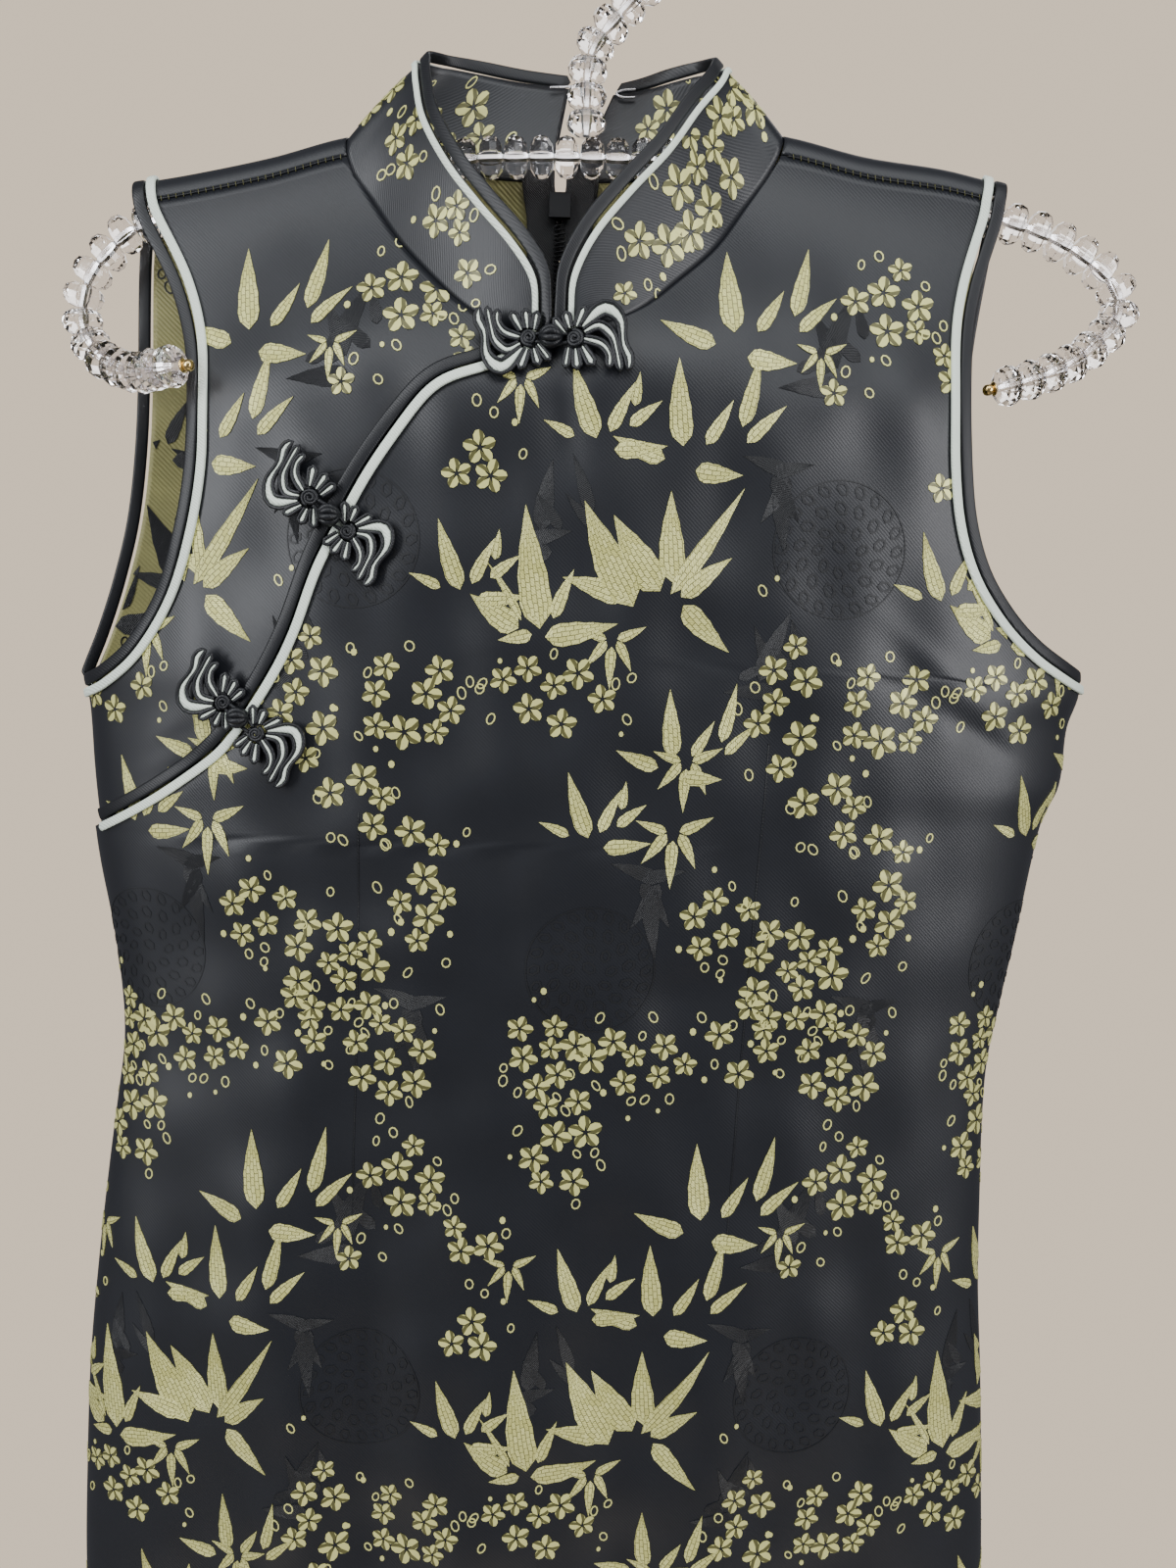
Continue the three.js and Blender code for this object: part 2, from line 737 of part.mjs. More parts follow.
/** A flat pad laid on the cloth, under an outline of [x, z]. */
function pad(outline, low, high, top) {
  const count = outline.length;
  const centre = outline.reduce(([a, b], [x, z]) => [a + x / count, b + z / count], [0, 0]);
  const place = ([x, z], share, rise) => {
    const [px, pz] = [lerp(centre[0], x, share), lerp(centre[1], z, share)];
    const { point, normal } = cloth('front', px, Math.min(pz, top));
    return point.addScaledVector(normal, rise).setZ(pz + normal.z * rise);
  };
  const rings = [
    [0.04, low],
    [0.5, low],
    [1, low],
    [1, high],
    [0.5, high],
    [0.04, high],
  ];
  return loft(rings.map(([share, rise]) => outline.map((mark) => place(mark, share, rise))));
}

for (const { name, x, z, tilt, base, top } of FROGS) {
  const turn = (tilt * Math.PI) / 180;
  const axis = new THREE.Vector2(Math.cos(turn), Math.sin(turn));
  const across = new THREE.Vector2(-axis.y, axis.x);
  for (const [hand, sign] of [
    ['left', -1],
    ['right', 1],
  ]) {
    const outline = HALF_OUTLINE.map(([along, aside]) => {
      const run = sign * lerp(FROG.bare, FROG.reach, along);
      const rise = sign * aside * FROG.breadth;
      return [x + axis.x * run + across.x * rise, z + axis.y * run + across.y * rise];
    });
    add(`${name}_${hand}`, pad(outline, base, base + FROG.thickness, top), SATIN);
  }
  const seat = cloth('front', x, z);
  const ball = new THREE.SphereGeometry(FROG.ball, 12, 8);
  const middle = seat.point.addScaledVector(seat.normal, base + FROG.ball - 0.2);
  ball.translate(middle.x, middle.y, middle.z);
  add(`${name}_button`, ball, SATIN);
}

// ---------------------------------------------------------------- zip, at the centre back
function zipTape(hand) {
  const sign = hand === 'left' ? -1 : 1;
  const zs = [ZIP.top, -112, -119, ...steps(-119, ZIP.bottom, 14)];
  const grid = zs.map((z) =>
    [0, 1].map((column) => {
      const x = zipEdge(hand, z)[0] + sign * column * ZIP.tape;
      const { point, normal } = cloth('back', x, z);
      return { point: point.addScaledVector(normal, -CLOTH - ZIP.clearance), normal };
    }),
  );
  return wall(grid, ZIP.tapeThickness);
}
function zipCoil() {
  const under = CLOTH + ZIP.clearance + ZIP.tapeThickness + SEAM_GAP;
  const zs = [COIL.top, ...steps(COIL.top, ZIP.bottom, 14)];
  const grid = zs.map((z) =>
    [-1, 1].map((sign) => {
      const { point, normal } = cloth('back', ZIP.x + sign * COIL.halfWidth, z);
      return { point: point.addScaledVector(normal, -under), normal };
    }),
  );
  return wall(grid, COIL.thickness);
}
add('zip_tape_left', zipTape('left'), NYLON);
add('zip_tape_right', zipTape('right'), NYLON);
add('zip_coil', zipCoil(), NYLON);

function manifoldOf(geometry) {
  const bare = geometry.clone();
  bare.deleteAttribute('normal');
  bare.deleteAttribute('uv');
  const merged = mergeVertices(bare);
  const vertProperties = new Float32Array(merged.attributes.position.array);
  const triVerts = new Uint32Array(merged.index.array);
  return new wasm.Manifold(new wasm.Mesh({ numProp: 3, vertProperties, triVerts }));
}
function geometryOf(manifold) {
  const { vertProperties, triVerts } = manifold.getMesh();
  const geometry = new THREE.BufferGeometry();
  geometry.setAttribute('position', new THREE.Float32BufferAttribute(vertProperties, 3));
  geometry.setIndex([...triVerts]);
  return geometry;
}
function block(x, y, z) {
  const [width, depth, height] = [x[1] - x[0], y[1] - y[0], z[1] - z[0]];
  const geometry = new THREE.BoxGeometry(width, depth, height);
  return geometry.translate((x[0] + x[1]) / 2, (y[0] + y[1]) / 2, (z[0] + z[1]) / 2);
}

/** The slider: a body inside the dress, a web through the seam and a bridge outside. */
function zipSlider() {
  const wide = (half) => [ZIP.x - half, ZIP.x + half];
  const blocks = [
    block(wide(4.2), [5.2, 7.5], [-116.5, -107]),
    block(wide(0.6), [7.2, 12.5], [-112, -108]),
    block(wide(2.6), [12.1, 13.1], [-115, -105.6]),
    block(wide(0.8), [12.8, 17.2], [-107, -105.6]),
    block(wide(0.8), [12.8, 17.2], [-112.8, -111.4]),
    block(wide(0.8), [16, 17.2], [-112.8, -105.6]),
  ];
  return geometryOf(blocks.map(manifoldOf).reduce((whole, next) => whole.add(next)));
}

/** The pull tab: a teardrop whose top bar is caught under the slider's bridge. */
function zipPull() {
  const { halfWidth, length, bar } = PULL;
  const shape = new THREE.Shape();
  shape.moveTo(-halfWidth, bar / 2);
  shape.lineTo(-halfWidth, -length + halfWidth + 0.8);
  shape.absarc(0, -length + halfWidth + 0.8, halfWidth, Math.PI, 2 * Math.PI, false);
  shape.lineTo(halfWidth, bar / 2);
  shape.closePath();
  const eye = new THREE.Path();
  eye.moveTo(-1.9, -bar / 2);
  eye.lineTo(1.9, -bar / 2);
  eye.lineTo(1.9, -6.4);
  eye.lineTo(-1.9, -6.4);
  eye.closePath();
  shape.holes.push(eye);
  const geometry = new THREE.ExtrudeGeometry(shape, { depth: bar, bevelEnabled: false, curveSegments: 8 });
  geometry.rotateX(Math.PI / 2);
  return geometry.translate(ZIP.x, PULL.y + bar / 2, PULL.z);
}
add('zip_slider', zipSlider(), ENAMEL);
add('zip_pull', zipPull(), ENAMEL);

// ---------------------------------------------------------------- sweeps: hook, eye, hanger
/** A round bar along a curve, closed at both ends. */
function bar(curve, radius, stepCount, halfSides) {
  const shape = new THREE.Shape();
  shape.absarc(0, 0, radius, 0, 2 * Math.PI, false);
  const options = { steps: stepCount, curveSegments: halfSides, bevelEnabled: false, extrudePath: curve };
  return new THREE.ExtrudeGeometry(shape, options);
}
const through = (rows) => {
  const points = rows.map((row) => new THREE.Vector3(...row));
  return new THREE.CatmullRomCurve3(points, false, 'centripetal');
};

const HOOK_WIRE = 0.5;
const COLLAR_HOOK = [
  [-17, 12.4, -65],
  [-11.5, 13.2, -64.4],
  [-6.5, 13.8, -63.8],
  [-5.2, 13.2, -64.8],
  [-6.6, 12.6, -65.8],
];
const COLLAR_EYE = [
  [17.2, 12.4, -65],
  [12.2, 13, -65.2],
  [9.6, 13.2, -66.4],
  [12, 13, -67.8],
  [17, 12.4, -68],
];
add('collar_hook', bar(through(COLLAR_HOOK), HOOK_WIRE, 12, 3), STEEL);
add('collar_eye', bar(through(COLLAR_EYE), HOOK_WIRE, 12, 3), STEEL);

// The arms hang level in the neck, slope through the shoulders, and curl at the ends.
const ARMS = [
  [-150, -38, -186],
  [-159, -34, -186],
  [-169, -24, -186],
  [-181, -13, -183],
  [-193, -5, -177],
  [-200.5, -1, -167],
  [-202, 0, -156],
  [-198, 0, -144],
  [-189, 0, -133.5],
  [-179, 0, -126],
  [-150, 0.4, -116.5],
  [-120, 0.4, -109],
  [-95, 0.4, -103],
  [-60, 0.4, -98],
  [-20, 0, -96],
  [20, 0, -96],
  [50, 0, -97],
  [75, 0, -99],
  [107, 0, -104.6],
  [138, 0, -109.5],
  [162, 0, -115.5],
  [182, 0, -121.5],
  [198, 0, -130],
  [209.5, 0, -140],
  [211.5, -1, -151],
  [203, -4, -162.5],
  [191, -7, -171.5],
  [178, -11, -177.5],
  [166, -14, -181.5],
  [160, -15, -183],
];
const STEM_FOOT_Z = -96 + BEAD_RADIUS + SEAM_GAP + 0.2;
const hookAngles = Array.from({ length: 14 }, (_, k) => lerp(-50, 195, k / 13));
const HOOK = [
  [STEM_X, 0, STEM_FOOT_Z],
  [STEM_X, 0, -76],
  [STEM_X, 0, -65],
  [0.5, 0, -55],
  [7, 0, -46.5],
  ...hookAngles.map((degrees) => {
    const angle = (degrees * Math.PI) / 180;
    return [HOOK_RADIUS * Math.cos(angle), 0, HOOK_CENTRE_Z + HOOK_RADIUS * Math.sin(angle)];
  }),
];
add('hanger_arms', bar(through(ARMS), BEAD_RADIUS, 52, 5), CRYSTAL);
add('hanger_hook', bar(through(HOOK), BEAD_RADIUS, 24, 5), CRYSTAL);

/** A gold bead just past an end of the hanger. */
function tip(end, before) {
  const [last, previous] = [new THREE.Vector3(...end), new THREE.Vector3(...before)];
  const away = last.clone().sub(previous).normalize();
  const centre = last.addScaledVector(away, TIP_RADIUS + SEAM_GAP);
  return new THREE.SphereGeometry(TIP_RADIUS, 12, 8).translate(centre.x, centre.y, centre.z);
}
add('hanger_tip_left', tip(ARMS[0], ARMS[1]), GOLD);
add('hanger_tip_right', tip(ARMS.at(-1), ARMS.at(-2)), GOLD);
add('hanger_tip_hook', tip(HOOK.at(-1), HOOK.at(-2)), GOLD);

export default model;
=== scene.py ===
# %% [markdown]
# # A sleeveless cheongsam on a beaded hanger
# The dress is one smooth shell in front and another behind. Every panel, tape, frog and
# woven motif is laid out flat, in x and z, and then mapped onto that shell, so all of them
# follow the same body and folds. Lengths are in millimetres until a mesh is written.

import math

import bmesh
import bpy
import numpy as np
from mathutils import Matrix, Vector


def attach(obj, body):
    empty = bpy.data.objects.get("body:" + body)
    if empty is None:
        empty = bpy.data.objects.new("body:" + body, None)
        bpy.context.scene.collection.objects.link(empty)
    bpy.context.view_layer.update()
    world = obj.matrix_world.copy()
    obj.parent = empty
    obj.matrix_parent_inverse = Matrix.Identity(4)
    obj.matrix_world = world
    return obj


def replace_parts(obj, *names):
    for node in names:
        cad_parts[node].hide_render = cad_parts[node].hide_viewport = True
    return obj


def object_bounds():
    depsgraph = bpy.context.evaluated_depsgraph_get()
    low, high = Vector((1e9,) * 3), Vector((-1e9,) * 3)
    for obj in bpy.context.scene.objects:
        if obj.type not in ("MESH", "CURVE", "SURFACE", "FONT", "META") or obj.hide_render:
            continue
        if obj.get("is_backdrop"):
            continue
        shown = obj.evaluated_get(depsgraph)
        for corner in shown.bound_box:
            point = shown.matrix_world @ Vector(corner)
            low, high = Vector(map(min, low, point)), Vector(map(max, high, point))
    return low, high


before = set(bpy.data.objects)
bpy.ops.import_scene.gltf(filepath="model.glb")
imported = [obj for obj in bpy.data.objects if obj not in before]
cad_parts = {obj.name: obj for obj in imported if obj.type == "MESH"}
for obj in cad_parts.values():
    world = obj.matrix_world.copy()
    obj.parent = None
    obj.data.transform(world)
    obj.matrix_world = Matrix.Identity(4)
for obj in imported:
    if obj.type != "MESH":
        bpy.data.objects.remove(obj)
cad_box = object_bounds()
MM = 0.001
BODY_NAME = "dress"
random = np.random.default_rng(11)
print("frame box", cad_box)

# %% [markdown]
# ## Camera and light
# The dress is seen from a little above its middle, close up. Satin shows its form by soft
# reflections, so the light is a few large soft panels, and the strongest is overhead in
# front, which brightens the cloth that leans back at the shoulders.

# %% Camera, lights and floor
scene = bpy.context.scene
lens = bpy.data.cameras.new("camera")
lens.lens = 27.56
lens.sensor_width = 36
camera = bpy.data.objects.new("camera", lens)
turn = Matrix.Rotation(math.radians(82.6), 4, "X") @ Matrix.Rotation(math.radians(1.3), 4, "Z")
camera.matrix_world = Matrix.Translation(Vector((4.5, -500.2, -279.3)) * MM) @ turn
scene.collection.objects.link(camera)
scene.camera = camera


def soft_light(name, place, aim, size, power, color):
    data = bpy.data.lights.new(name, "AREA")
    data.shape = "RECTANGLE"
    data.size, data.size_y = size
    data.energy = power
    data.color = color
    light = bpy.data.objects.new(name, data)
    light.location = place
    light.rotation_euler = (Vector(aim) - Vector(place)).to_track_quat("-Z", "Y").to_euler()
    scene.collection.objects.link(light)


soft_light("overhead", (0.05, -0.95, 0.85), (0, 0, -0.25), (1.7, 0.9), 14, (0.95, 0.98, 1))
soft_light("front_left", (-1.4, -1.3, 0.1), (0, 0, -0.45), (0.5, 1.6), 30, (0.95, 0.97, 1))
soft_light("front_right", (1.5, -1.2, -0.1), (0, 0, -0.45), (0.5, 1.4), 25, (0.98, 0.98, 1))
soft_light("behind", (0.2, 1.6, 0.6), (0, 0, -0.4), (1.6, 1.2), 9, (1, 1, 1))

world = bpy.data.worlds.new("studio")
scene.world = world
world.use_nodes = True
sky = world.node_tree
sky.nodes.clear()
seen = sky.nodes.new("ShaderNodeBackground")
seen.inputs["Color"].default_value = (0.95, 0.79, 0.61, 1)
glow = sky.nodes.new("ShaderNodeBackground")
glow.inputs["Color"].default_value = (0.85, 0.85, 0.9, 1)
glow.inputs["Strength"].default_value = 0.22
path = sky.nodes.new("ShaderNodeLightPath")
pick = sky.nodes.new("ShaderNodeMixShader")
out = sky.nodes.new("ShaderNodeOutputWorld")
clear = sky.nodes.new("ShaderNodeMath")
clear.operation = "MAXIMUM"
sky.links.new(path.outputs["Is Camera Ray"], clear.inputs[0])
sky.links.new(path.outputs["Is Transmission Ray"], clear.inputs[1])
sky.links.new(clear.outputs[0], pick.inputs[0])
sky.links.new(glow.outputs[0], pick.inputs[1])
sky.links.new(seen.outputs[0], pick.inputs[2])
sky.links.new(pick.outputs[0], out.inputs[0])

floor_form = bmesh.new()
bmesh.ops.create_grid(floor_form, x_segments=1, y_segments=1, size=0.6)
floor_mesh = bpy.data.meshes.new("floor")
floor_form.to_mesh(floor_mesh)
floor_mesh.transform(Matrix.Translation((0, 0, cad_box[0][2] - 0.25)))
floor = bpy.data.objects.new("floor", floor_mesh)
plain = bpy.data.materials.new("floor")
plain.use_nodes = True
plain.node_tree.nodes["Principled BSDF"].inputs["Base Color"].default_value = (0.7, 0.62, 0.52, 1)
floor_mesh.materials.append(plain)
scene.collection.objects.link(floor)
floor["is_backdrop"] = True

# %% [markdown]
# ## The shell
# A few rows give the side seams and how far the cloth stands out from the hanger at each
# height, a ridge line gives the shoulders, and soft folds are bumps that run down from
# the waist. Smooth curves join the rows, as a pattern maker joins marks with a curve.


# %% Smooth tables
def smooth_table(rows):
    rows = np.array(sorted(rows), float)
    keys = rows[:, 0]
    last = len(rows) - 1
    before = np.maximum(np.arange(len(rows)) - 1, 0)
    after = np.minimum(np.arange(len(rows)) + 1, last)
    slopes = (rows[after] - rows[before]) / (keys[after] - keys[before])[:, None]

    def column(c):
        def at(key):
            key = np.clip(key, keys[0], keys[-1])
            i = np.clip(np.searchsorted(keys, key, side="right") - 1, 0, last - 1)
            span = keys[i + 1] - keys[i]
            t = (key - keys[i]) / span
            rise = t * t * (3 - 2 * t)
            leave = (t**3 - 2 * t * t + t) * span * slopes[i, c]
            arrive = (t**3 - t * t) * span * slopes[i + 1, c]
            return rows[i, c] * (1 - rise) + rows[i + 1, c] * rise + leave + arrive

        return at

    return [column(c) for c in range(1, rows.shape[1])]


HEM = -1040
# z, left side, right side, front depth, back depth
side_left, side_right, front_depth, back_depth = smooth_table(
    [
        (-90, -190, 172, 42, 20),
        (-200, -197, 186, 44, 24),
        (-270, -203, 200, 44, 24),
        (-300, -205, 207, 44, 24),
        (-316, -203, 203, 43, 24),
        (-340, -202, 201.5, 42, 23),
        (-355, -201, 195.5, 41, 23),
        (-375, -199, 192, 40, 22),
        (-404, -195, 188, 38, 21),
        (-435, -193, 183, 36, 20),
        (-460, -193, 179.5, 35, 20),
        (-485, -196.5, 179, 35, 21),
        (-515, -201, 180, 35, 23),
        (-560, -207, 182, 36, 25),
        (-606, -212, 186, 37, 26),
        (-655, -215, 189.5, 37, 26),
        (-710, -217, 192.5, 36, 26),
        (-800, -215, 191, 35, 25),
        (-900, -210, 186, 34, 24),
        (HEM, -204, 181, 33, 23),
    ]
)
# x, z of the line along the shoulders
(ridge_z,) = smooth_table(
    [
        (-205, -114),
        (-179, -110),
        (-156, -106),
        (-124, -99),
        (-95, -91),
        (-60, -87),
        (0, -84),
        (45, -85),
        (75, -87),
        (107, -94),
        (138, -98),
        (162, -103),
        (190, -107),
    ]
)
FRONT, BACK = -1, 1
# side, top z, x there, drift, half width, depth outward
FOLDS = [
    (FRONT, -300, -165, 0.02, 16, -3),
    (FRONT, -440, -128, 0.05, 20, 3.5),
    (FRONT, -430, -84, 0.02, 15, -4),
    (FRONT, -470, -34, 0.0, 26, 3),
    (FRONT, -480, 22, 0.02, 18, -4),
    (FRONT, -450, 72, -0.02, 20, 3.5),
    (FRONT, -430, 122, 0.02, 16, -3.5),
    (FRONT, -190, 40, 0.1, 30, -2),
    (BACK, -440, -110, 0.03, 24, -4),
    (BACK, -460, -50, 0.0, 20, 3),
    (BACK, -450, 40, 0.02, 22, -3.5),
    (BACK, -430, 110, -0.02, 22, 3),
]
# side, x, z, direction in degrees, half length, half width, depth outward
CREASES = [
    (FRONT, 150, -300, -38, 34, 5, 1.5),
    (FRONT, 158, -318, -30, 30, 4, -1.3),
    (FRONT, -170, -325, 28, 30, 5, 1.4),
    (FRONT, -160, -340, 24, 34, 5, -1.4),
    (FRONT, -105, -150, -60, 30, 6, 1.2),
    (FRONT, -92, -142, -64, 26, 5, -1.1),
    (FRONT, -8, -205, -88, 22, 9, -2.2),
    (FRONT, 95, -160, 70, 34, 9, -1.2),
    (FRONT, 40, -260, -15, 50, 12, 1.2),
    (FRONT, -40, -300, 10, 46, 13, -1.3),
    (FRONT, 60, -420, 12, 40, 9, -1.2),
    (FRONT, -60, -410, -14, 42, 10, 1.2),
    (BACK, -90, -200, 60, 40, 10, -1.5),
    (BACK, 80, -210, -62, 40, 10, -1.5),
]
# Slow ripples of the satin: wave length across and along, phase, height
RIPPLES = [
    (61, 240, 0.4, 0.32),
    (43, -170, 1.9, 0.26),
    (29, 150, 3.1, 0.16),
    (87, 66, 5.2, 0.3),
    (-120, 47, 2.4, 0.26),
]
RIPPLE_FRONT, RIPPLE_BACK = 1.4, 0.7
FOLD_FADE = 130
SECTION_POWER, SECTION_ROUND = 2.6, 0.55
SLIT_GAPE = 2
SEAM_GAP = 0.3
SHOULDER_ROUND = 10.2
SHOULDER_FLARE = 100
SLIT_TOP = -830


def unit(ways):
    return ways / np.linalg.norm(ways, axis=-1, keepdims=True)


def run_along(points):
    """Length along a line of points, from its start to each of them."""
    return np.concatenate([[0], np.cumsum(np.linalg.norm(np.diff(points, axis=0), axis=1))])


def rows_between(table, at):
    """Rows of a table at fractional row numbers."""
    return np.stack([np.interp(at, np.arange(len(table)), column) for column in table.T], -1)


def smooth_step(t):
    t = np.clip(t, 0, 1)
    return t * t * (3 - 2 * t)


def middle_at(z):
    return (side_left(z) + side_right(z)) / 2


def half_at(z):
    return (side_right(z) - side_left(z)) / 2


def across_at(x, z):
    return np.clip((x - middle_at(z)) / half_at(z), -1, 1)


def fold_depth(side, x, z):
    depth = np.zeros(np.broadcast(x, z).shape)
    for fold_side, top, fold_x, drift, width, height in FOLDS:
        below = top - z
        offset = (x - fold_x - drift * below) / width
        shape = height * smooth_step(below / FOLD_FADE) * np.exp(-offset * offset)
        depth += np.where(side == fold_side, shape, 0)
    for fold_side, fold_x, fold_z, degrees, length, width, height in CREASES:
        c, s = math.cos(math.radians(degrees)), math.sin(math.radians(degrees))
        along = ((x - fold_x) * c + (z - fold_z) * s) / length
        aside = (-(x - fold_x) * s + (z - fold_z) * c) / width
        shape = height * np.exp(-along * along - aside * aside)
        depth += np.where(side == fold_side, shape, 0)
    share = np.where(side == FRONT, RIPPLE_FRONT, RIPPLE_BACK)
    for wide, tall, phase, height in RIPPLES:
        depth += share * height * np.sin(2 * np.pi * (x / wide + z / tall) + phase + side)
    return depth


def depth_at(side, x, z):
    drop = ridge_z(x) - z
    under = SHOULDER_ROUND - np.clip(drop, 0, SHOULDER_ROUND)
    rounded = np.sqrt(SHOULDER_ROUND**2 - under**2)
    across = np.abs(across_at(x, z))
    section = (1 - across**SECTION_POWER) ** SECTION_ROUND
    deep = np.where(side == FRONT, front_depth(z), back_depth(z))
    full = deep * section + fold_depth(side, x, z) * (1 - across**4)
    share = smooth_step((drop - SHOULDER_ROUND) / SHOULDER_FLARE)
    below = SHOULDER_ROUND + (full - SHOULDER_ROUND) * share
    return np.where(drop < SHOULDER_ROUND, rounded, below)


def surface_y(side, x, z):
    slit = SLIT_GAPE * smooth_step((SLIT_TOP - z) / 70)
    return side * (SEAM_GAP / 2 + slit + depth_at(side, x, z))


def cloth(side, x, z, lift=0):
    """Points of the shell, raised by lift, and the way out of the dress there."""
    side, x, z = np.broadcast_arrays(side, x, z)
    x = np.clip(x, side_left(z), side_right(z))
    step = 0.01
    inward = np.where(x > middle_at(z), -step, step)
    y = surface_y(side, x, z)
    slope_x = (surface_y(side, x + inward, z) - y) / inward
    slope_z = (y - surface_y(side, x, z - step)) / step
    normal = np.stack([-side * slope_x, side * np.ones_like(y), -side * slope_z], -1)
    normal = unit(normal)
    return np.stack([x, y, z], -1) + normal * np.asarray(lift)[..., None], normal


# %% [markdown]
# ## Cutting lines
# The neckline, the armholes and the opening are drawn once, as smooth lines in x and z.
# A panel runs between a left and a right edge, and the same lines carry the tapes.


# %% Lines and panels' edges
def spline(points, count):
    """Evenly spaced points on a smooth curve through the given ones."""
    points = np.array(points, float)
    p = np.concatenate([points[:1], points, points[-1:]])
    t = np.linspace(0, 1, 25)[:-1, None]
    dense = []
    for a, b, c, d in zip(p, p[1:], p[2:], p[3:]):
        start, end = (c - a) / 2, (d - b) / 2
        rise = t * t * (3 - 2 * t)
        leave, arrive = t**3 - 2 * t**2 + t, t**3 - t**2
        dense.append(b * (1 - rise) + c * rise + leave * start + arrive * end)
    dense = np.concatenate([*dense, points[-1:]])
    return even(dense, count)


def even(dense, count):
    run = run_along(dense)
    goal = np.linspace(0, run[-1], count)
    return np.stack([np.interp(goal, run, dense[:, k]) for k in range(dense.shape[1])], -1)


def seam_mark(x, gap=0.15):
    return (x, float(ridge_z(x)) - SHOULDER_ROUND - gap)


NECK_LEFT = [seam_mark(-94), (-92, -106), (-84, -118), (-72, -135)]
NECK_LEFT += [(-59, -149), (-47, -160), (-33, -168.5), (-20, -172.5)]
NECK_RIGHT = [seam_mark(73.5), (69.5, -104), (60, -118), (48, -136)]
NECK_RIGHT += [(34, -150), (22, -161), (8, -168.5), (-5, -172.5)]
OPENING = [(-5, -172.5), (-18, -177), (-36, -184), (-54, -191), (-68, -205), (-84, -228)]
OPENING += [(-98, -254), (-109, -282), (-123, -307), (-140, -329), (-166, -348), (-199.6, -366)]
ARM_RIDGE = {"left": -173.5, "right": 157.5}
ARM_FRONT = {
    "left": [(-168.5, -126), (-156, -150), (-148.5, -173), (-146, -197), (-147, -222)]
    + [(-151.5, -247), (-160.5, -271), (-175, -292), (-191, -304), (-204.2, -309)],
    "right": [(153.5, -121), (146.5, -145), (143, -165), (142, -190), (143, -215), (146.5, -237)]
    + [(154, -257), (166, -273), (181, -286), (197, -295), (207.2, -299)],
}
ARM_BACK = {
    "left": [(-176.5, -140), (-178, -180), (-180, -210), (-184, -240)]
    + [(-190, -265), (-196.5, -286), (-201.5, -300), (-204.2, -309)],
    "right": [(156, -130), (152.5, -160), (151.5, -190), (152.5, -215), (157, -240)]
    + [(165, -262), (178, -280), (193, -291), (207.2, -299)],
}


def arm_line(hand, side):
    inward = 2.5 if hand == "left" else -2.5
    x = ARM_RIDGE[hand] + (inward if side == FRONT else -inward / 2)
    return [seam_mark(x), *(ARM_FRONT if side == FRONT else ARM_BACK)[hand]]


def side_edge(hand, start, stop, count):
    z = np.linspace(start, stop, count + 1)[1:]
    return np.stack([(side_left if hand == "left" else side_right)(z), z], -1)


OPENING_LINE = spline(OPENING, 90)
FLAP_LIFT, FLAP_TUCK, FLAP_FADE = 2.4, 15, 70


def flap_lift(x, z):
    """The front is raised along the opening, over the piece tucked under its edge."""
    x, z = np.broadcast_arrays(x, z)
    flat = np.stack([x.ravel(), z.ravel()], -1)
    away = np.full(len(flat), 1e9)
    for mark in OPENING_LINE:
        away = np.minimum(away, np.hypot(*(flat - mark).T))
    return (FLAP_LIFT * (1 - smooth_step((away - FLAP_TUCK) / FLAP_FADE))).reshape(x.shape)


def flap_cloth(side, x, z, lift=0):
    return cloth(side, x, z, flap_lift(x, z) + lift)


# %% [markdown]
# ## Fabric coordinates
# The pattern of a woven cloth runs along the threads, so it narrows where the cloth turns
# away at the sides. s is measured round the dress from the centre line, and a table that
# is worked out once turns s and z into x.

# %% Arc length round the dress
CENTRE_X = -8
ROW_STEP, S_STEP = 6.0, 2.0
rows_z = np.arange(-1060, -70, ROW_STEP)
angles = np.linspace(-np.pi / 2, np.pi / 2, 161)
span_s = np.arange(-280, 281, S_STEP)
ARC, X_AT = {}, {}
for side in (FRONT, BACK):
    x = middle_at(rows_z)[:, None] + half_at(rows_z)[:, None] * np.sin(angles)
    y = surface_y(side, x, rows_z[:, None])
    arc = np.cumsum(np.hypot(np.diff(x), np.diff(y)), axis=1)
    arc = np.concatenate([np.zeros((len(rows_z), 1)), arc], axis=1)
    arc -= np.array([np.interp(CENTRE_X, px, pa) for px, pa in zip(x, arc)])[:, None]
    ARC[side] = arc
    X_AT[side] = np.array([np.interp(span_s, pa, px, np.nan, np.nan) for px, pa in zip(x, arc)])
print("half girth at the bust", round(float(ARC[FRONT][-40, -1] - ARC[FRONT][-40, 0])), "mm")


def look_up(table, row, column):
    row = np.clip(row, 0, table.shape[0] - 1.001)
    column = np.clip(column, 0, table.shape[1] - 1.001)
    i, j = row.astype(int), column.astype(int)
    a, b = row - i, column - j
    top = table[i, j] * (1 - b) + table[i, j + 1] * b
    low = table[i + 1, j] * (1 - b) + table[i + 1, j + 1] * b
    return top * (1 - a) + low * a


def s_at(side, x, z):
    column = (np.arcsin(across_at(x, z)) / np.pi + 0.5) * (len(angles) - 1)
    return look_up(ARC[side], (z - rows_z[0]) / ROW_STEP, column)


def x_at(side, s, z):
    return look_up(X_AT[side], (z - rows_z[0]) / ROW_STEP, (s - span_s[0]) / S_STEP)


# %% [markdown]
# ## Sheets and tubes
# A sheet starts as a flat bmesh grid, and each of its points is then carried to its place
# on the dress. A tube is the same grid, with its two long edges merged.


# %% Making meshes
WELD = 2e-6
CORD_UP = (0, -1.0, 0.05)


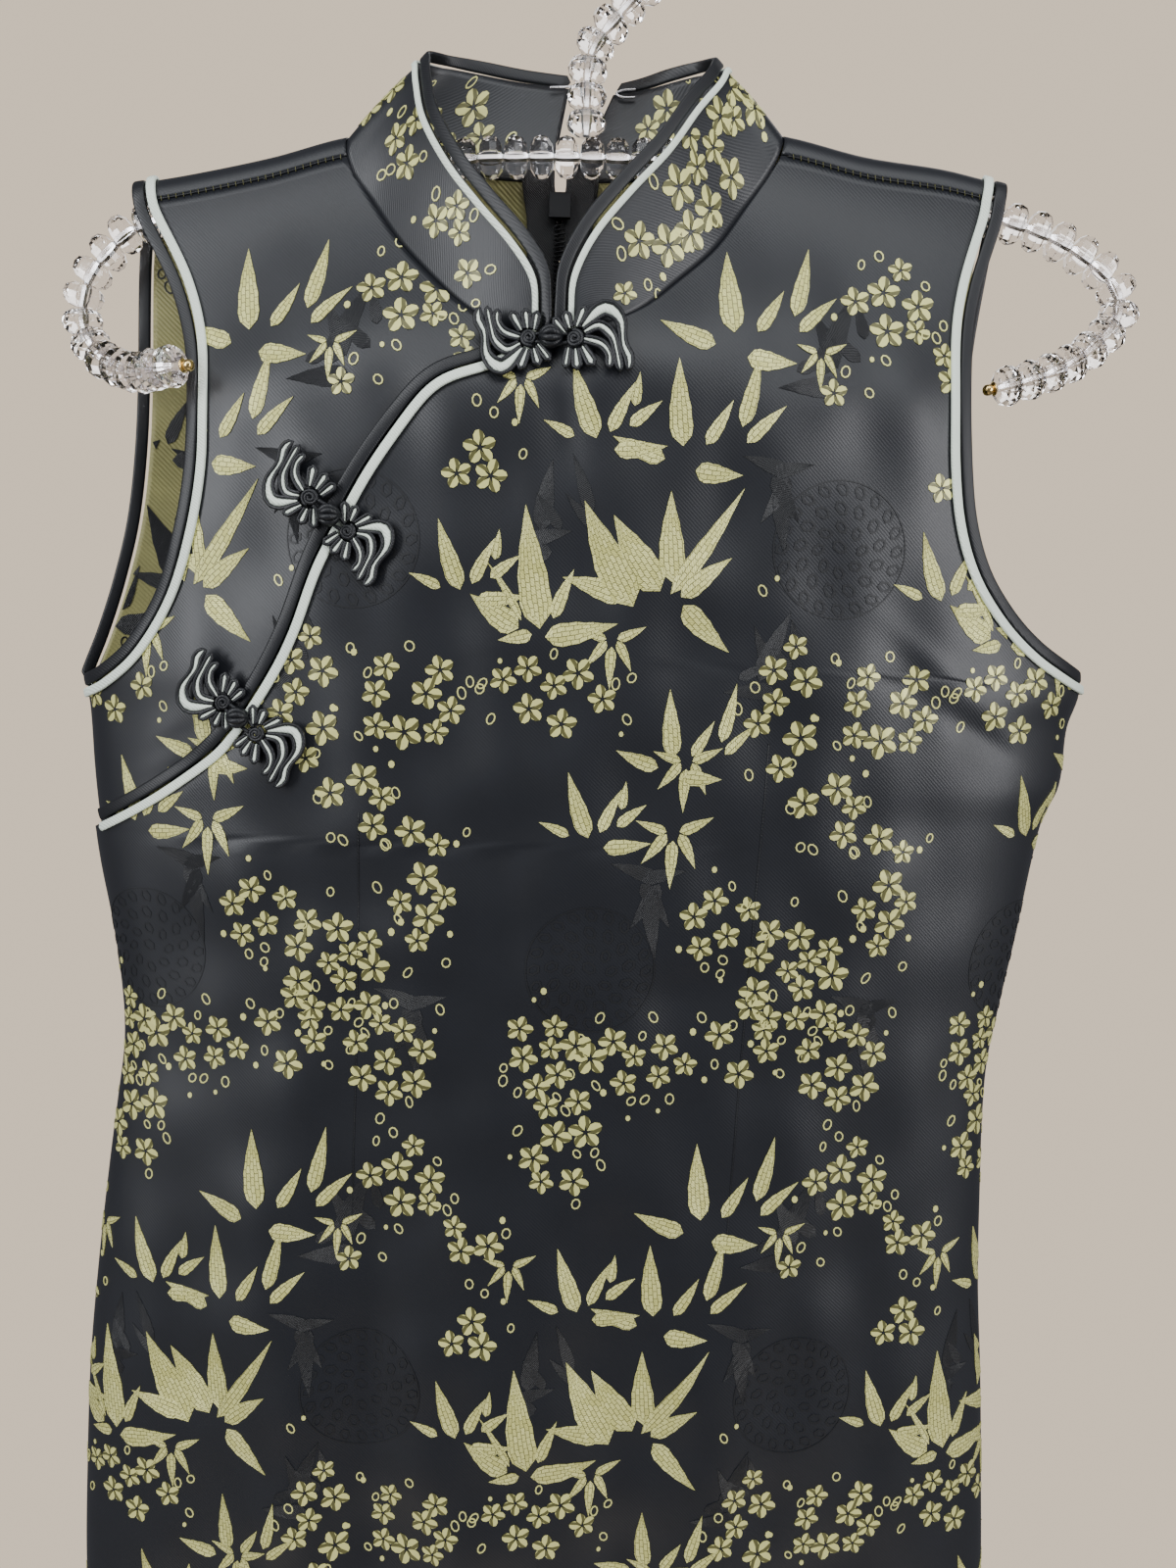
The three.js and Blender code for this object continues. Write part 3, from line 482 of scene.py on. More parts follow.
def new_object(name, mesh, materials, body=BODY_NAME):
    """A finished piece on the dress. Its name says whether it stands for a CAD node."""
    piece = bpy.data.objects.new(name + "_sewn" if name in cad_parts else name, mesh)
    scene.collection.objects.link(piece)
    for material in materials:
        mesh.materials.append(material)
    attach(piece, body)
    return piece


def grid_mesh(name, columns, rows, place, out=None, weld=False, uv=None):
    form = bmesh.new()
    bmesh.ops.create_grid(form, x_segments=columns, y_segments=rows, size=0.5)
    mesh = bpy.data.meshes.new(name)
    form.to_mesh(mesh)
    flat = np.zeros(len(mesh.vertices) * 3)
    mesh.vertices.foreach_get("co", flat)
    u, v = flat.reshape(-1, 3)[:, 0] + 0.5, flat.reshape(-1, 3)[:, 1] + 0.5
    points = place(u, v)
    mesh.vertices.foreach_set("co", (points * MM).ravel())
    if uv is not None:
        corners = np.zeros(len(mesh.loops), int)
        mesh.loops.foreach_get("vertex_index", corners)
        layer = mesh.uv_layers.new(name="Weave")
        layer.data.foreach_set("uv", (uv(u, v)[corners] * MM).ravel())
    mesh.update()
    form.clear()
    form.from_mesh(mesh)
    if weld:
        bmesh.ops.remove_doubles(form, verts=form.verts, dist=WELD)
        bmesh.ops.recalc_face_normals(form, faces=form.faces)
    elif out is not None:
        ways = out(u, v)
        agree = sum(f.normal.dot(Vector(ways[f.verts[0].index])) for f in form.faces)
        if agree < 0:
            bmesh.ops.reverse_faces(form, faces=form.faces)
    for face in form.faces:
        face.smooth = True
    form.to_mesh(mesh)
    form.free()
    return mesh


def wall(piece, thickness, inner=0):
    thick = piece.modifiers.new("wall", "SOLIDIFY")
    thick.thickness = thickness * MM
    thick.offset = -1
    thick.material_offset = inner
    return piece


def add_grid(form, columns, rows, place):
    """Adds a grid to a bmesh and carries its points to place(u, v)."""
    verts = bmesh.ops.create_grid(form, x_segments=columns, y_segments=rows, size=0.5)["verts"]
    u, v = np.array([vert.co[:2] for vert in verts]).T + 0.5
    for vert, point in zip(verts, place(u, v) * MM):
        vert.co = point


def finished(form, name, smooth=True):
    for face in form.faces:
        face.smooth = smooth
    mesh = bpy.data.meshes.new(name)
    form.to_mesh(mesh)
    form.free()
    return mesh


def cord_mesh(name, paths, radius, sides=8, closed=False):
    """Round cords along lists of points, as one mesh: a grid for each, rolled into a tube."""
    form = bmesh.new()
    for points in paths:
        points = np.array(points, float)
        if closed:
            ahead = np.roll(points, -1, 0) - points
            way = ahead + np.roll(ahead, 1, 0)
        else:
            way = np.gradient(points, axis=0)
        way = unit(way)
        aside = unit(np.cross(way, CORD_UP))
        table = np.concatenate([points, aside, np.cross(aside, way)], axis=1)
        if closed:
            table = np.concatenate([table, table[:1]])

        def place(u, v):
            rows = table[np.round(v * (len(table) - 1)).astype(int)]
            angle = 2 * np.pi * u[:, None]
            ring = rows[:, 3:6] * np.cos(angle) + rows[:, 6:] * np.sin(angle)
            return rows[:, :3] + radius * ring

        add_grid(form, sides, len(table) - 1, place)
    bmesh.ops.remove_doubles(form, verts=form.verts, dist=WELD)
    if not closed:
        bmesh.ops.holes_fill(form, edges=form.edges, sides=sides)
    bmesh.ops.recalc_face_normals(form, faces=form.faces)
    return finished(form, name)


# %% [markdown]
# ## Finishes
# Satin is a smooth weave of long floats: dark, with a broad soft gloss and a fine twill
# line. The gold motifs are floats of metallic yarn, tied down by rows of tiny dark
# stitches. The twill is one node group, placed in each cloth at its own scale.


# %% Materials
def node_material(name, color, roughness, metallic=0, **uniform):
    material = bpy.data.materials.new(name)
    material.use_nodes = True
    shader = material.node_tree.nodes["Principled BSDF"]
    shader.inputs["Base Color"].default_value = (*color, 1)
    shader.inputs["Roughness"].default_value = roughness
    shader.inputs["Metallic"].default_value = metallic
    for key, value in uniform.items():
        shader.inputs[key.replace("_", " ")].default_value = value
    return material, material.node_tree, shader


def twill_group():
    """Fine diagonal lines, with slow unevenness of the yarn: a Mask and a Height."""
    group = bpy.data.node_groups.new("twill", "ShaderNodeTree")
    face = group.interface
    face.new_socket("Vector", in_out="INPUT", socket_type="NodeSocketVector")
    face.new_socket("Lines per metre", in_out="INPUT", socket_type="NodeSocketFloat")
    face.new_socket("Mask", in_out="OUTPUT", socket_type="NodeSocketFloat")
    face.new_socket("Slub", in_out="OUTPUT", socket_type="NodeSocketFloat")
    start, end = group.nodes.new("NodeGroupInput"), group.nodes.new("NodeGroupOutput")
    wave = group.nodes.new("ShaderNodeTexWave")
    wave.bands_direction = "DIAGONAL"
    wave.inputs["Distortion"].default_value = 0.6
    wave.inputs["Detail"].default_value = 1
    slub = group.nodes.new("ShaderNodeTexNoise")
    slub.inputs["Scale"].default_value = 60
    slub.inputs["Detail"].default_value = 3
    link = group.links.new
    link(start.outputs[0], wave.inputs["Vector"])
    link(start.outputs[1], wave.inputs["Scale"])
    link(start.outputs[0], slub.inputs["Vector"])
    link(wave.outputs["Fac"], end.inputs[0])
    link(slub.outputs["Fac"], end.inputs[1])
    return group


TWILL = twill_group()


def weave(tree, shader, lines, depth, coordinates="Weave", color=None, dark=0.8):
    nodes, link = tree.nodes, tree.links.new
    if coordinates == "Weave":
        source = nodes.new("ShaderNodeUVMap")
        source.uv_map = "Weave"
        vector = source.outputs["UV"]
    else:
        vector = nodes.new("ShaderNodeTexCoord").outputs["Object"]
    twill = nodes.new("ShaderNodeGroup")
    twill.node_tree = TWILL
    twill.inputs[1].default_value = lines
    link(vector, twill.inputs[0])
    bump = nodes.new("ShaderNodeBump")
    bump.inputs["Strength"].default_value = 0.5
    bump.inputs["Distance"].default_value = depth
    link(twill.outputs["Mask"], bump.inputs["Height"])
    link(bump.outputs[0], shader.inputs["Normal"])
    if color:
        mix = nodes.new("ShaderNodeMix")
        mix.data_type = "RGBA"
        mix.inputs["A"].default_value = (*[c * dark for c in color], 1)
        mix.inputs["B"].default_value = (*color, 1)
        link(twill.outputs["Slub"], mix.inputs["Factor"])
        link(mix.outputs["Result"], shader.inputs["Base Color"])
    return vector


brocade, tree, shader = node_material("brocade", (0.006, 0.007, 0.011), 0.43, Specular_IOR_Level=0.6)
weave(tree, shader, 420, 0.00006, color=(0.007, 0.0085, 0.013), dark=0.6)
reverse, tree, shader = node_material("brocade_reverse", (0.3, 0.28, 0.1), 0.55)
weave(tree, shader, 300, 0.0004, color=(0.36, 0.34, 0.13), dark=0.5)
black_satin, tree, shader = node_material("black_satin", (0.005, 0.006, 0.009), 0.45)
weave(tree, shader, 500, 0.0001, "Object", color=(0.006, 0.007, 0.01), dark=0.6)
mint_satin, tree, shader = node_material("mint_satin", (0.82, 0.92, 0.8), 0.5)
weave(tree, shader, 500, 0.0003, "Object", color=(0.86, 0.95, 0.83), dark=0.9)
nylon, tree, shader = node_material("zip_nylon", (0.01, 0.01, 0.012), 0.5)
weave(tree, shader, 700, 0.0003, "Object", color=(0.012, 0.012, 0.014))
# The zip's slider and pull are steel, but get this black material: painted shade, for the shade they
# sit in inside the neck.
slider_painted_shade, tree, shader = node_material("zip_enamel", (0.012, 0.012, 0.014), 0.3, 0.3)
weave(tree, shader, 900, 0.00003, "Object", color=(0.014, 0.014, 0.016), dark=0.8)
steel, tree, shader = node_material("steel", (0.75, 0.75, 0.77), 0.22, 1)
weave(tree, shader, 900, 0.00003, "Object", color=(0.78, 0.78, 0.8), dark=0.9)
gilt, tree, shader = node_material("gold", (0.78, 0.55, 0.2), 0.2, 1)
weave(tree, shader, 900, 0.00002, "Object", color=(0.8, 0.58, 0.24), dark=0.85)
glass = {"Transmission_Weight": 1.0, "IOR": 1.46}
crystal, tree, shader = node_material("crystal", (0.955, 0.955, 0.99), 0.05, **glass)
weave(tree, shader, 40, 0.00004, "Object")

# %% [markdown]
# ## Panels
# The front runs from the right shoulder to the left side below the opening. The underlap is
# the shoulder piece at the wearer's right, tucked under the flap. The two halves of the
# back go over the shoulders and meet at the zip. Each is a sheet between two edges.

# %% Panels
PANELS = {}


def panel(name, side, left, right, surface, columns, over=None, follow_rows=20):
    """A sheet between two edges of equally many marks. over gives rows above them."""
    left, right = np.array(left), np.array(right)
    rows = len(left) - 1
    extra = 0 if over is None else len(over[0])

    def marks(u, v):
        row = v * (rows + extra) - extra
        low = np.clip(row, 0, rows)
        (lx, lz), (rx, rz) = rows_between(left, low).T, rows_between(right, low).T
        start, stop = np.arcsin(across_at(lx, lz)), np.arcsin(across_at(rx, rz))
        z = lz + (rz - lz) * u
        x = middle_at(z) + half_at(z) * np.sin(start + (stop - start) * u)
        x = np.where(u < 1e-6, lx, np.where(u > 1 - 1e-6, rx, x))
        along = (x - lx) / np.where(np.abs(rx - lx) < 1e-9, 1, rx - lx)
        bow = ridge_z(x) - (ridge_z(lx) * (1 - along) + ridge_z(rx) * along)
        z = lz + (rz - lz) * along + np.clip(1 - low / follow_rows, 0, 1) * bow
        sides = np.full_like(x, side)
        if extra:
            up = row < 0
            k = row[up] + extra
            first, last, angle = [np.interp(k, np.arange(extra), column) for column in over]
            x[up] = first + (last - first) * u[up]
            z[up] = ridge_z(x[up]) - SHOULDER_ROUND * (1 - np.cos(np.radians(angle)))
            sides[up] = np.where(angle > 0, FRONT, BACK)
        return sides, x, z

    def place(u, v):
        sides, x, z = marks(u, v)
        return surface(sides, x, z)[0]

    def out(u, v):
        sides, x, z = marks(u, v)
        return surface(sides, x, z)[1]

    def uv(u, v):
        sides, x, z = marks(u, v)
        return np.stack([s_at(side, x, z), z], -1)

    mesh = grid_mesh(name, columns, rows + extra, place, out, uv=uv)
    piece = wall(new_object(name, mesh, [brocade, reverse]), 1.0, 1)
    outline = np.concatenate([left, right[::-1]])
    PANELS[name] = (side, outline, surface)
    area = sum(p.area for p in mesh.polygons)
    print(name, len(mesh.polygons), "faces", round(area, 4), "m2")
    return piece, area


HAND_UP = 96
lower_left, lower_right = [side_edge(h, -366, HEM, 130) for h in ("left", "right")]
left = np.concatenate([spline(NECK_RIGHT, 28), spline(OPENING, HAND_UP - 27)[1:], lower_left])
upper_right = [spline(arm_line("right", FRONT), 68), side_edge("right", -299, -366, HAND_UP - 68)]
right = np.concatenate([*upper_right, lower_right])
front, front_area = panel("front_panel", FRONT, left, right, flap_cloth, 110)

tucked = []
for x, z in OPENING[1:]:
    share = min(max((x + 190) / 60, 0), 1)
    tucked.append((x + 9.6 * share, z - 7.2 * share))
right = np.concatenate([spline(NECK_LEFT, 28), spline(tucked, 53)[1:]])
upper_left, foot_z = spline(arm_line("left", FRONT), 60), right[-1][1]
left = np.concatenate([upper_left, side_edge("left", -309, foot_z, 20)])
underlap, underlap_area = panel("front_underlap", FRONT, left, right, cloth, 44)

# angle over the ridge in degrees, and x of the neckline there
NECK_OVER = {
    "left": [(88.5, -94), (66, -94.6), (44, -95), (0, -95)]
    + [(-22, -92.5), (-45, -88), (-67, -82), (-90, -71)],
    "right": [(88.5, 73.5), (66, 74.4), (44, 75), (0, 75)]
    + [(-22, 73.5), (-45, 70), (-67, 64), (-90, 55)],
}
NECK_BACK = {
    "left": [(-71, -98), (-42, -101), (-15, -102.2)],
    "right": [(55, -97.5), (26, -100.6), (-9, -102.2)],
}
ZIP_X = -12


def zip_edge(hand, z):
    gape = SEAM_GAP / 2 + 2.2 * smooth_step((z + 119) / 17)
    return np.stack([ZIP_X + (-gape if hand == "left" else gape), z], -1)


backs = {}
for hand in ("left", "right"):
    neck = np.array(NECK_OVER[hand])[::-1]
    angle = np.linspace(88.5, -90, 26)[:-1]
    neck_x = np.interp(angle, neck[:, 0], neck[:, 1])
    seam_x = np.where(angle > 0, arm_line(hand, FRONT)[0][0], arm_line(hand, BACK)[0][0])
    outer_x = ARM_RIDGE[hand] + (seam_x - ARM_RIDGE[hand]) * np.abs(angle) / 90
    arm = spline(arm_line(hand, BACK), 62)
    outer = np.concatenate([arm, side_edge(hand, arm[-1][1], HEM, 160)])
    z = np.linspace(-102.2, arm[-1][1], 53)[1:]
    lower = np.linspace(arm[-1][1], HEM, 161)[1:]
    neck = spline(NECK_BACK[hand], 10)
    middle = np.concatenate([neck, zip_edge(hand, z), zip_edge(hand, lower)])
    over = (outer_x, neck_x, angle)
    backs[hand] = panel(f"back_{hand}", BACK, outer, middle, cloth, 50, over, 12)

# %% [markdown]
# ## Tapes
# Each raw edge is bound with black satin, and a thin mint piping lies beside the binding.
# A tape is a rounded section carried along the edge, with its width square to the edge.


# %% Tapes
def track(side, x, z, count, turn, surface=cloth, closed=False):
    dense, normal = surface(side, x, z)
    reach = 3
    if closed:
        tangent = np.roll(dense, -reach, 0) - np.roll(dense, reach, 0)
    else:
        index = np.arange(len(dense))
        ahead, behind = np.minimum(index + reach, len(dense) - 1), np.maximum(index - reach, 0)
        tangent = dense[ahead] - dense[behind]
    off = unit(np.cross(normal, unit(tangent)) * turn)
    rows = np.concatenate([dense, normal, off], axis=1)
    if closed:
        rows = np.concatenate([rows, rows[:1]])
    run = run_along(rows[:, :3])
    goal = np.linspace(0, run[-1], count + 1)
    return np.stack([np.interp(goal, run, rows[:, k]) for k in range(9)], -1)


def tape(name, stations, start, stop, low, high, material):
    """A rounded tape from start to stop off the edge, and from low to high outward."""
    count = len(stations) - 1
    closed = np.allclose(stations[0], stations[-1])

    def place(u, v):
        point, normal, off = np.split(rows_between(stations, v * count), 3, axis=-1)
        angle = 2 * np.pi * u
        c, s = np.cos(angle), np.sin(angle)
        wide = (start + stop) / 2 + (stop - start) / 2 * np.sign(c) * np.abs(c) ** 0.5
        tall = (low + high) / 2 + (high - low) / 2 * np.sign(s) * np.abs(s) ** 0.6
        pinch = 1 if closed else np.where((v < 1e-6) | (v > 1 - 1e-6), 0.02, 1)
        wide = (start + stop) / 2 + (wide - (start + stop) / 2) * pinch
        tall = (low + high) / 2 + (tall - (low + high) / 2) * pinch
        return point + off * wide[:, None] + normal * tall[:, None]

    mesh = grid_mesh(name, 16, count, place, weld=True)
    piece = new_object(name, mesh, [material])
    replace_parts(piece, name)
    return piece


def binding(name, stations):
    return tape(name, stations, 1.1, 6.0, -1.2, 0.8, black_satin)


def piping(name, stations):
    return tape(name, stations, -3.6, 0, 0.2, 1.8, mint_satin)


for hand, way in (("left", 1), ("right", -1)):
    parts = []
    front_line = spline(arm_line(hand, FRONT), 130)[::-1][:-1]
    back_line = spline(arm_line(hand, BACK), 130)[:-1]
    parts.append((np.full(len(front_line), FRONT), front_line[:, 0], front_line[:, 1]))
    for side, angle in ((FRONT, np.linspace(90, 0, 13)[:-1]), (BACK, np.linspace(0, 90, 13)[:-1])):
        seam_x = arm_line(hand, side)[0][0]
        x = ARM_RIDGE[hand] + (seam_x - ARM_RIDGE[hand]) * angle / 90
        z = ridge_z(x) - SHOULDER_ROUND * (1 - np.cos(np.radians(angle)))
        parts.append((np.full(len(x), side), x, z))
    parts.append((np.full(len(back_line), BACK), back_line[:, 0], back_line[:, 1]))
    side, x, z = [np.concatenate([p[k] for p in parts]) for k in range(3)]
    stations = track(side, x, z, 190, way, closed=True)
    binding(f"armhole_binding_{hand}", stations)
    piping(f"armhole_piping_{hand}", stations)

marks = spline(OPENING, 161)[9:-3]
stations = track(FRONT, marks[:, 0], marks[:, 1], 120, -1, flap_cloth)
binding("opening_binding", stations)
piping("opening_piping", stations)

# %% [markdown]
# ## Collar
# Each half of the stand collar runs from the rounded front end to the centre back. Its
# foot follows the neckline and its free edge is a curve of its own, with tapes along it.

# %% Collar
# side, foot x, foot z, edge x, edge y, edge z
COLLAR = {
    "left": [
        (FRONT, -19, -172, -12.9, -42.5, -171.5),
        (FRONT, -27, -170, -12.8, -43, -160),
        (FRONT, -36, -166.5, -14.5, -43, -148),
        (FRONT, -47, -159.4, -23, -41, -135),
        (FRONT, -59, -148.3, -36, -36, -120),
        (FRONT, -72, -134.2, -48, -30, -104.5),
        (FRONT, -84, -117.3, -58, -21, -86),
        (FRONT, -92, -105, -62, -11, -70),
        (FRONT, -93.8, -95, -63, -5, -62),
        (BACK, -94.5, -91, -63, 0, -58),
        (BACK, -86, -92.5, -56, 9, -55.5),
        (BACK, -62, -98.5, -43, 14, -55.5),
        (BACK, -36, -101, -27, 17, -57),
        (BACK, -16, -101.5, -8.5, 18, -58.6),
    ],
    "right": [
        (FRONT, -5.5, -172, -11.7, -42.5, -171.5),
        (FRONT, 2, -170, -11.6, -43, -160),
        (FRONT, 11, -166.5, -10, -43, -147),
        (FRONT, 22, -160.4, -2, -41, -131),
        (FRONT, 34, -149.3, 11, -36, -114),
        (FRONT, 48, -135.2, 25, -29, -97),
        (FRONT, 60, -117.3, 36, -20, -79),
        (FRONT, 69.5, -102, 44, -11, -67),
        (FRONT, 73.5, -91.5, 46.3, -5, -61),
        (BACK, 74.6, -87, 47, 0, -58),
        (BACK, 66, -90.5, 41, 8, -56),
        (BACK, 44, -97.6, 30, 13, -57),
        (BACK, 18, -100.6, 20, 17, -59),
        (BACK, -8, -101.5, 11, 18, -61),
    ],
}
COLLAR_SHEETS = {}


def collar_half(hand, way):
    marks = np.array(COLLAR[hand])
    surface = cloth if hand == "left" else flap_cloth
    foot_marks = surface(marks[:, 0], marks[:, 1], marks[:, 2])[0]
    both = spline(np.concatenate([foot_marks, marks[:, 3:]], axis=1), 120)
    foot, edge = both[:, :3], both[:, 3:]
    down = unit(foot - edge)
    normal = unit(np.cross(down, unit(np.gradient(edge, axis=0))) * way)
    count = len(both) - 1
    data = np.concatenate([foot + down, edge + down * 6.0, normal], axis=1)
    run = run_along(edge)

    def rows_at(v):
        return np.split(rows_between(data, v * count), 3, axis=-1)

    def place(u, v, lift=0):
        low, high, out = rows_at(v)
        bulge = lift + 0.8 * np.sin(np.pi * u)[:, None]
        return low + (high - low) * u[:, None] + out * bulge

    def weave_at(u, v):
        return np.stack([np.interp(v * count, np.arange(count + 1), run) * way, u * 36 - 150], -1)

    mesh = grid_mesh(f"collar_{hand}", 14, count, place, lambda u, v: rows_at(v)[2], uv=weave_at)
    piece = wall(new_object(f"collar_{hand}", mesh, [brocade, brocade]), 1.8)
    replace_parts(piece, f"collar_{hand}")
    area = sum(p.area for p in mesh.polygons)
    COLLAR_SHEETS[hand] = (piece, area, run[-1], place, rows_at)
    stations = np.concatenate([edge + down * 6.0, normal, -down], axis=1)
    binding(f"collar_binding_{hand}", stations)
    tape(f"collar_piping_{hand}", stations, -2.6, 0, 0.2, 1.8, mint_satin)
    print("collar", hand, round(run[-1]), "mm along the edge,", round(area, 5), "m2")


collar_half("left", -1)
collar_half("right", 1)

# %% [markdown]
# ## Woven motifs
# A brocade's motifs are floats of gold yarn that stand a little proud of the satin. Here
# each is a thin shape of its own: bamboo leaves from one grid, plum petals from one
# circle, rings for buds. They fill one repeat of the fabric, as on the loom, and the
# repeat is laid side by side over each panel and trimmed at its edges. The same shapes
# in black yarn make the dark figures that show only by their gloss.


# %% Shapes of one repeat
def unit_shape(make, **options):
    form = bmesh.new()
    make(form, **options)
    points = np.array([v.co[:2] for v in form.verts])
    faces = [[v.index for v in f.verts] for f in form.faces]
    form.free()
    return points, faces


def petal_form(form):
    """A petal with a slit from its root, as tie-down stitches leave it."""
    bmesh.ops.create_circle(form, segments=9, radius=1, cap_ends=True)
    bmesh.ops.rotate(form, verts=form.verts, matrix=Matrix.Rotation(math.radians(-90), 3, "Z"))
    root, *beside = sorted(form.verts, key=lambda v: v.co.y)[:3]
    root.co.y = -0.2
    for vert in beside:
        vert.co.x *= 0.3
        vert.co.y = -1.1


LEAF = unit_shape(bmesh.ops.create_grid, x_segments=9, y_segments=2, size=0.5)
PETAL = unit_shape(petal_form)
DOT = unit_shape(bmesh.ops.create_circle, segments=7, radius=1, cap_ends=True)
GOLD, DARK = 0, 1


class Cloth_figures:
    """Points in fabric millimetres, their faces, yarn coordinates and yarn kinds."""

    def __init__(self):
        self.points, self.faces, self.yarns, self.kinds = [], [], [], []
        self.count = 0

    def add(self, points, faces, yarns, kind):
        self.points.append(points)
        self.yarns.append(yarns)
        self.faces.append([[i + self.count for i in f] for f in faces])
        self.kinds.append([kind] * len(faces))
        self.count += len(points)


def turned(points, degrees):
    c, s = math.cos(math.radians(degrees)), math.sin(math.radians(degrees))
    return points @ np.array([[c, s], [-s, c]])


def leaf(figures, s, z, lean, length, width, bend, kind=GOLD):
    """A leaf from its root at (s, z); lean is in degrees clockwise from straight up."""
    a, b = LEAF[0][:, 0] + 0.5, LEAF[0][:, 1] * 2
    swell = 2.52 * a**0.42 * (1 - a) ** 1.1
    ragged = 1 + 0.04 * np.where(np.round(a * 9) % 2 == 0, 1, -1) * (np.abs(b) > 0.5)
    aside = b * width / 2 * swell * ragged + bend * length * (a * a - a * 0.4)
    points = turned(np.stack([aside, a * length], -1), -lean) + (s, z)
    figures.add(points, LEAF[1], np.stack([a * length, b * width / 2 + 3], -1), kind)


def petal_ring(figures, s, z, radius, spin, kind=GOLD, petals=5):
    for k in range(petals):
        shape = PETAL[0] * (radius * 0.34, radius * 0.42) + (0, radius * 0.58)
        points = turned(shape, spin + k * 360 / petals) + (s, z)
        figures.add(points, PETAL[1], PETAL[0] * 0.4 + (1.4, 0.7), kind)


def ring(figures, s, z, wide, tall, spin, kind=GOLD, band=0.55, sides=9):
    angle = np.linspace(0, 2 * np.pi, sides, endpoint=False)
    way = np.stack([np.cos(angle), np.sin(angle)], -1)
    points = np.concatenate([way * (wide, tall), way * (wide - band, tall - band)])
    faces = [[k, (k + 1) % sides, (k + 1) % sides + sides, k + sides] for k in range(sides)]
    figures.add(turned(points, spin) + (s, z), faces, np.full((2 * sides, 2), 0.7), kind)


def dot(figures, s, z, radius, kind=GOLD):
    figures.add(DOT[0] * (radius, radius * 1.2) + (s, z), DOT[1], np.full((7, 2), 0.7), kind)


# Each leaf: lean, length, width, root aside and up from the spray's node, bend.
SPRAYS = {
    "broad": [
        (-5, 34, 9.5, 0, 0, 0.05),
        (36, 48, 6.5, -1, -4, -0.06),
        (-36, 33, 12, -5, -3, 0.08),
        (-29, 43, 13, -15, -9, 0.08),
        (-70, 25, 8, -18, -6, -0.08),
        (49, 24, 7, 3, -5, 0.08),
        (138, 25, 8, 4, -8, -0.12),
    ],
    "tall": [
        (-9, 46, 11.5, 0, 0, 0.05),
        (-59, 22, 9, -8, 0, 0.1),
        (-28, 25, 3, -7, 3, -0.1),
        (82, 28, 8.5, 2, -3, -0.1),
        (-104, 13, 5, -3, -2, 0.08),
        (20, 20, 5, 5, 4, 0.06),
    ],
    "fan": [
        (-20, 36, 9, 0, 0, 0.07),
        (-64, 17, 5, -10, 1, -0.08),
        (24, 25, 6, 6, 3, 0.06),
        (50, 19, 5.5, 15, 6, 0.07),
        (10, 15, 4.5, 17, 15, -0.05),
        (88, 25, 8, 8, -5, -0.1),
    ],
    "rise": [
        (-6, 33, 8.5, 0, 0, 0.05),
        (33, 20, 5, 9, 1, -0.06),
        (15, 29, 6, 23, 8, -0.07),
        (44, 21, 5, 25, 2, 0.06),
        (-72, 22, 7, -7, -5, 0.1),
        (97, 19, 7.5, 5, -9, -0.1),
    ],
    "drop": [
        (152, 18, 5, 2, 0, 0.08),
        (184, 23, 5.5, -1, -3, -0.06),
        (216, 18, 5, -4, 0, 0.08),
        (68, 17, 5, 2, 1, -0.08),
        (-74, 15, 4.5, -4, 1, 0.08),
    ],
}
REPEAT_S, REPEAT_Z = 184.0, 350.0
# spray, s, z, size
BAMBOO = [
    ("rise", 84, -38, 1.0),
    ("drop", 118, -44, 0.55),
    ("rise", 66, -80, 0.95),
    ("fan", 34, -78, 0.8),
    ("broad", 64, -130, 1.0),
    ("tall", 14, -148, 1.0),
    ("drop", 42, -152, 0.7),
    ("rise", 66, -196, 0.8),
    ("drop", 72, -198, 0.75),
    ("fan", 34, -228, 0.75),
    ("drop", 68, -226, 0.85),
    ("fan", 168, -134, 0.75),
    ("drop", 6, -58, 0.6),
]
# s, z, reach along s and z, blossoms
PLUM = [
    (19, -172, 20, 15, 7),
    (108, -172, 11, 28, 7),
    (150, -176, 18, 16, 8),
    (132, -212, 15, 14, 4),
    (154, -248, 10, 26, 7),
    (88, -262, 12, 16, 5),
    (118, -282, 20, 24, 12),
    (100, -312, 12, 16, 5),
    (18, -318, 17, 16, 8),
    (56, -322, 22, 12, 7),
    (142, -322, 18, 17, 8),
    (30, -345, 16, 10, 4),
    (146, -22, 15, 15, 6),
    (170, -50, 12, 10, 3),
    (22, -16, 14, 9, 3),
    (174, -86, 9, 12, 3),
    (120, -60, 8, 8, 1),
]
ROUNDELS = [(127, -116), (36, -282)]
DARK_SPRAYS = [
    ("fan", 118, -52, 1.0),
    ("drop", 104, -90, 1.1),
    ("rise", 14, -112, 0.8),
    ("drop", 150, -300, 1.2),
    ("fan", 98, -166, 0.8),
    ("drop", 60, -246, 1.2),
]


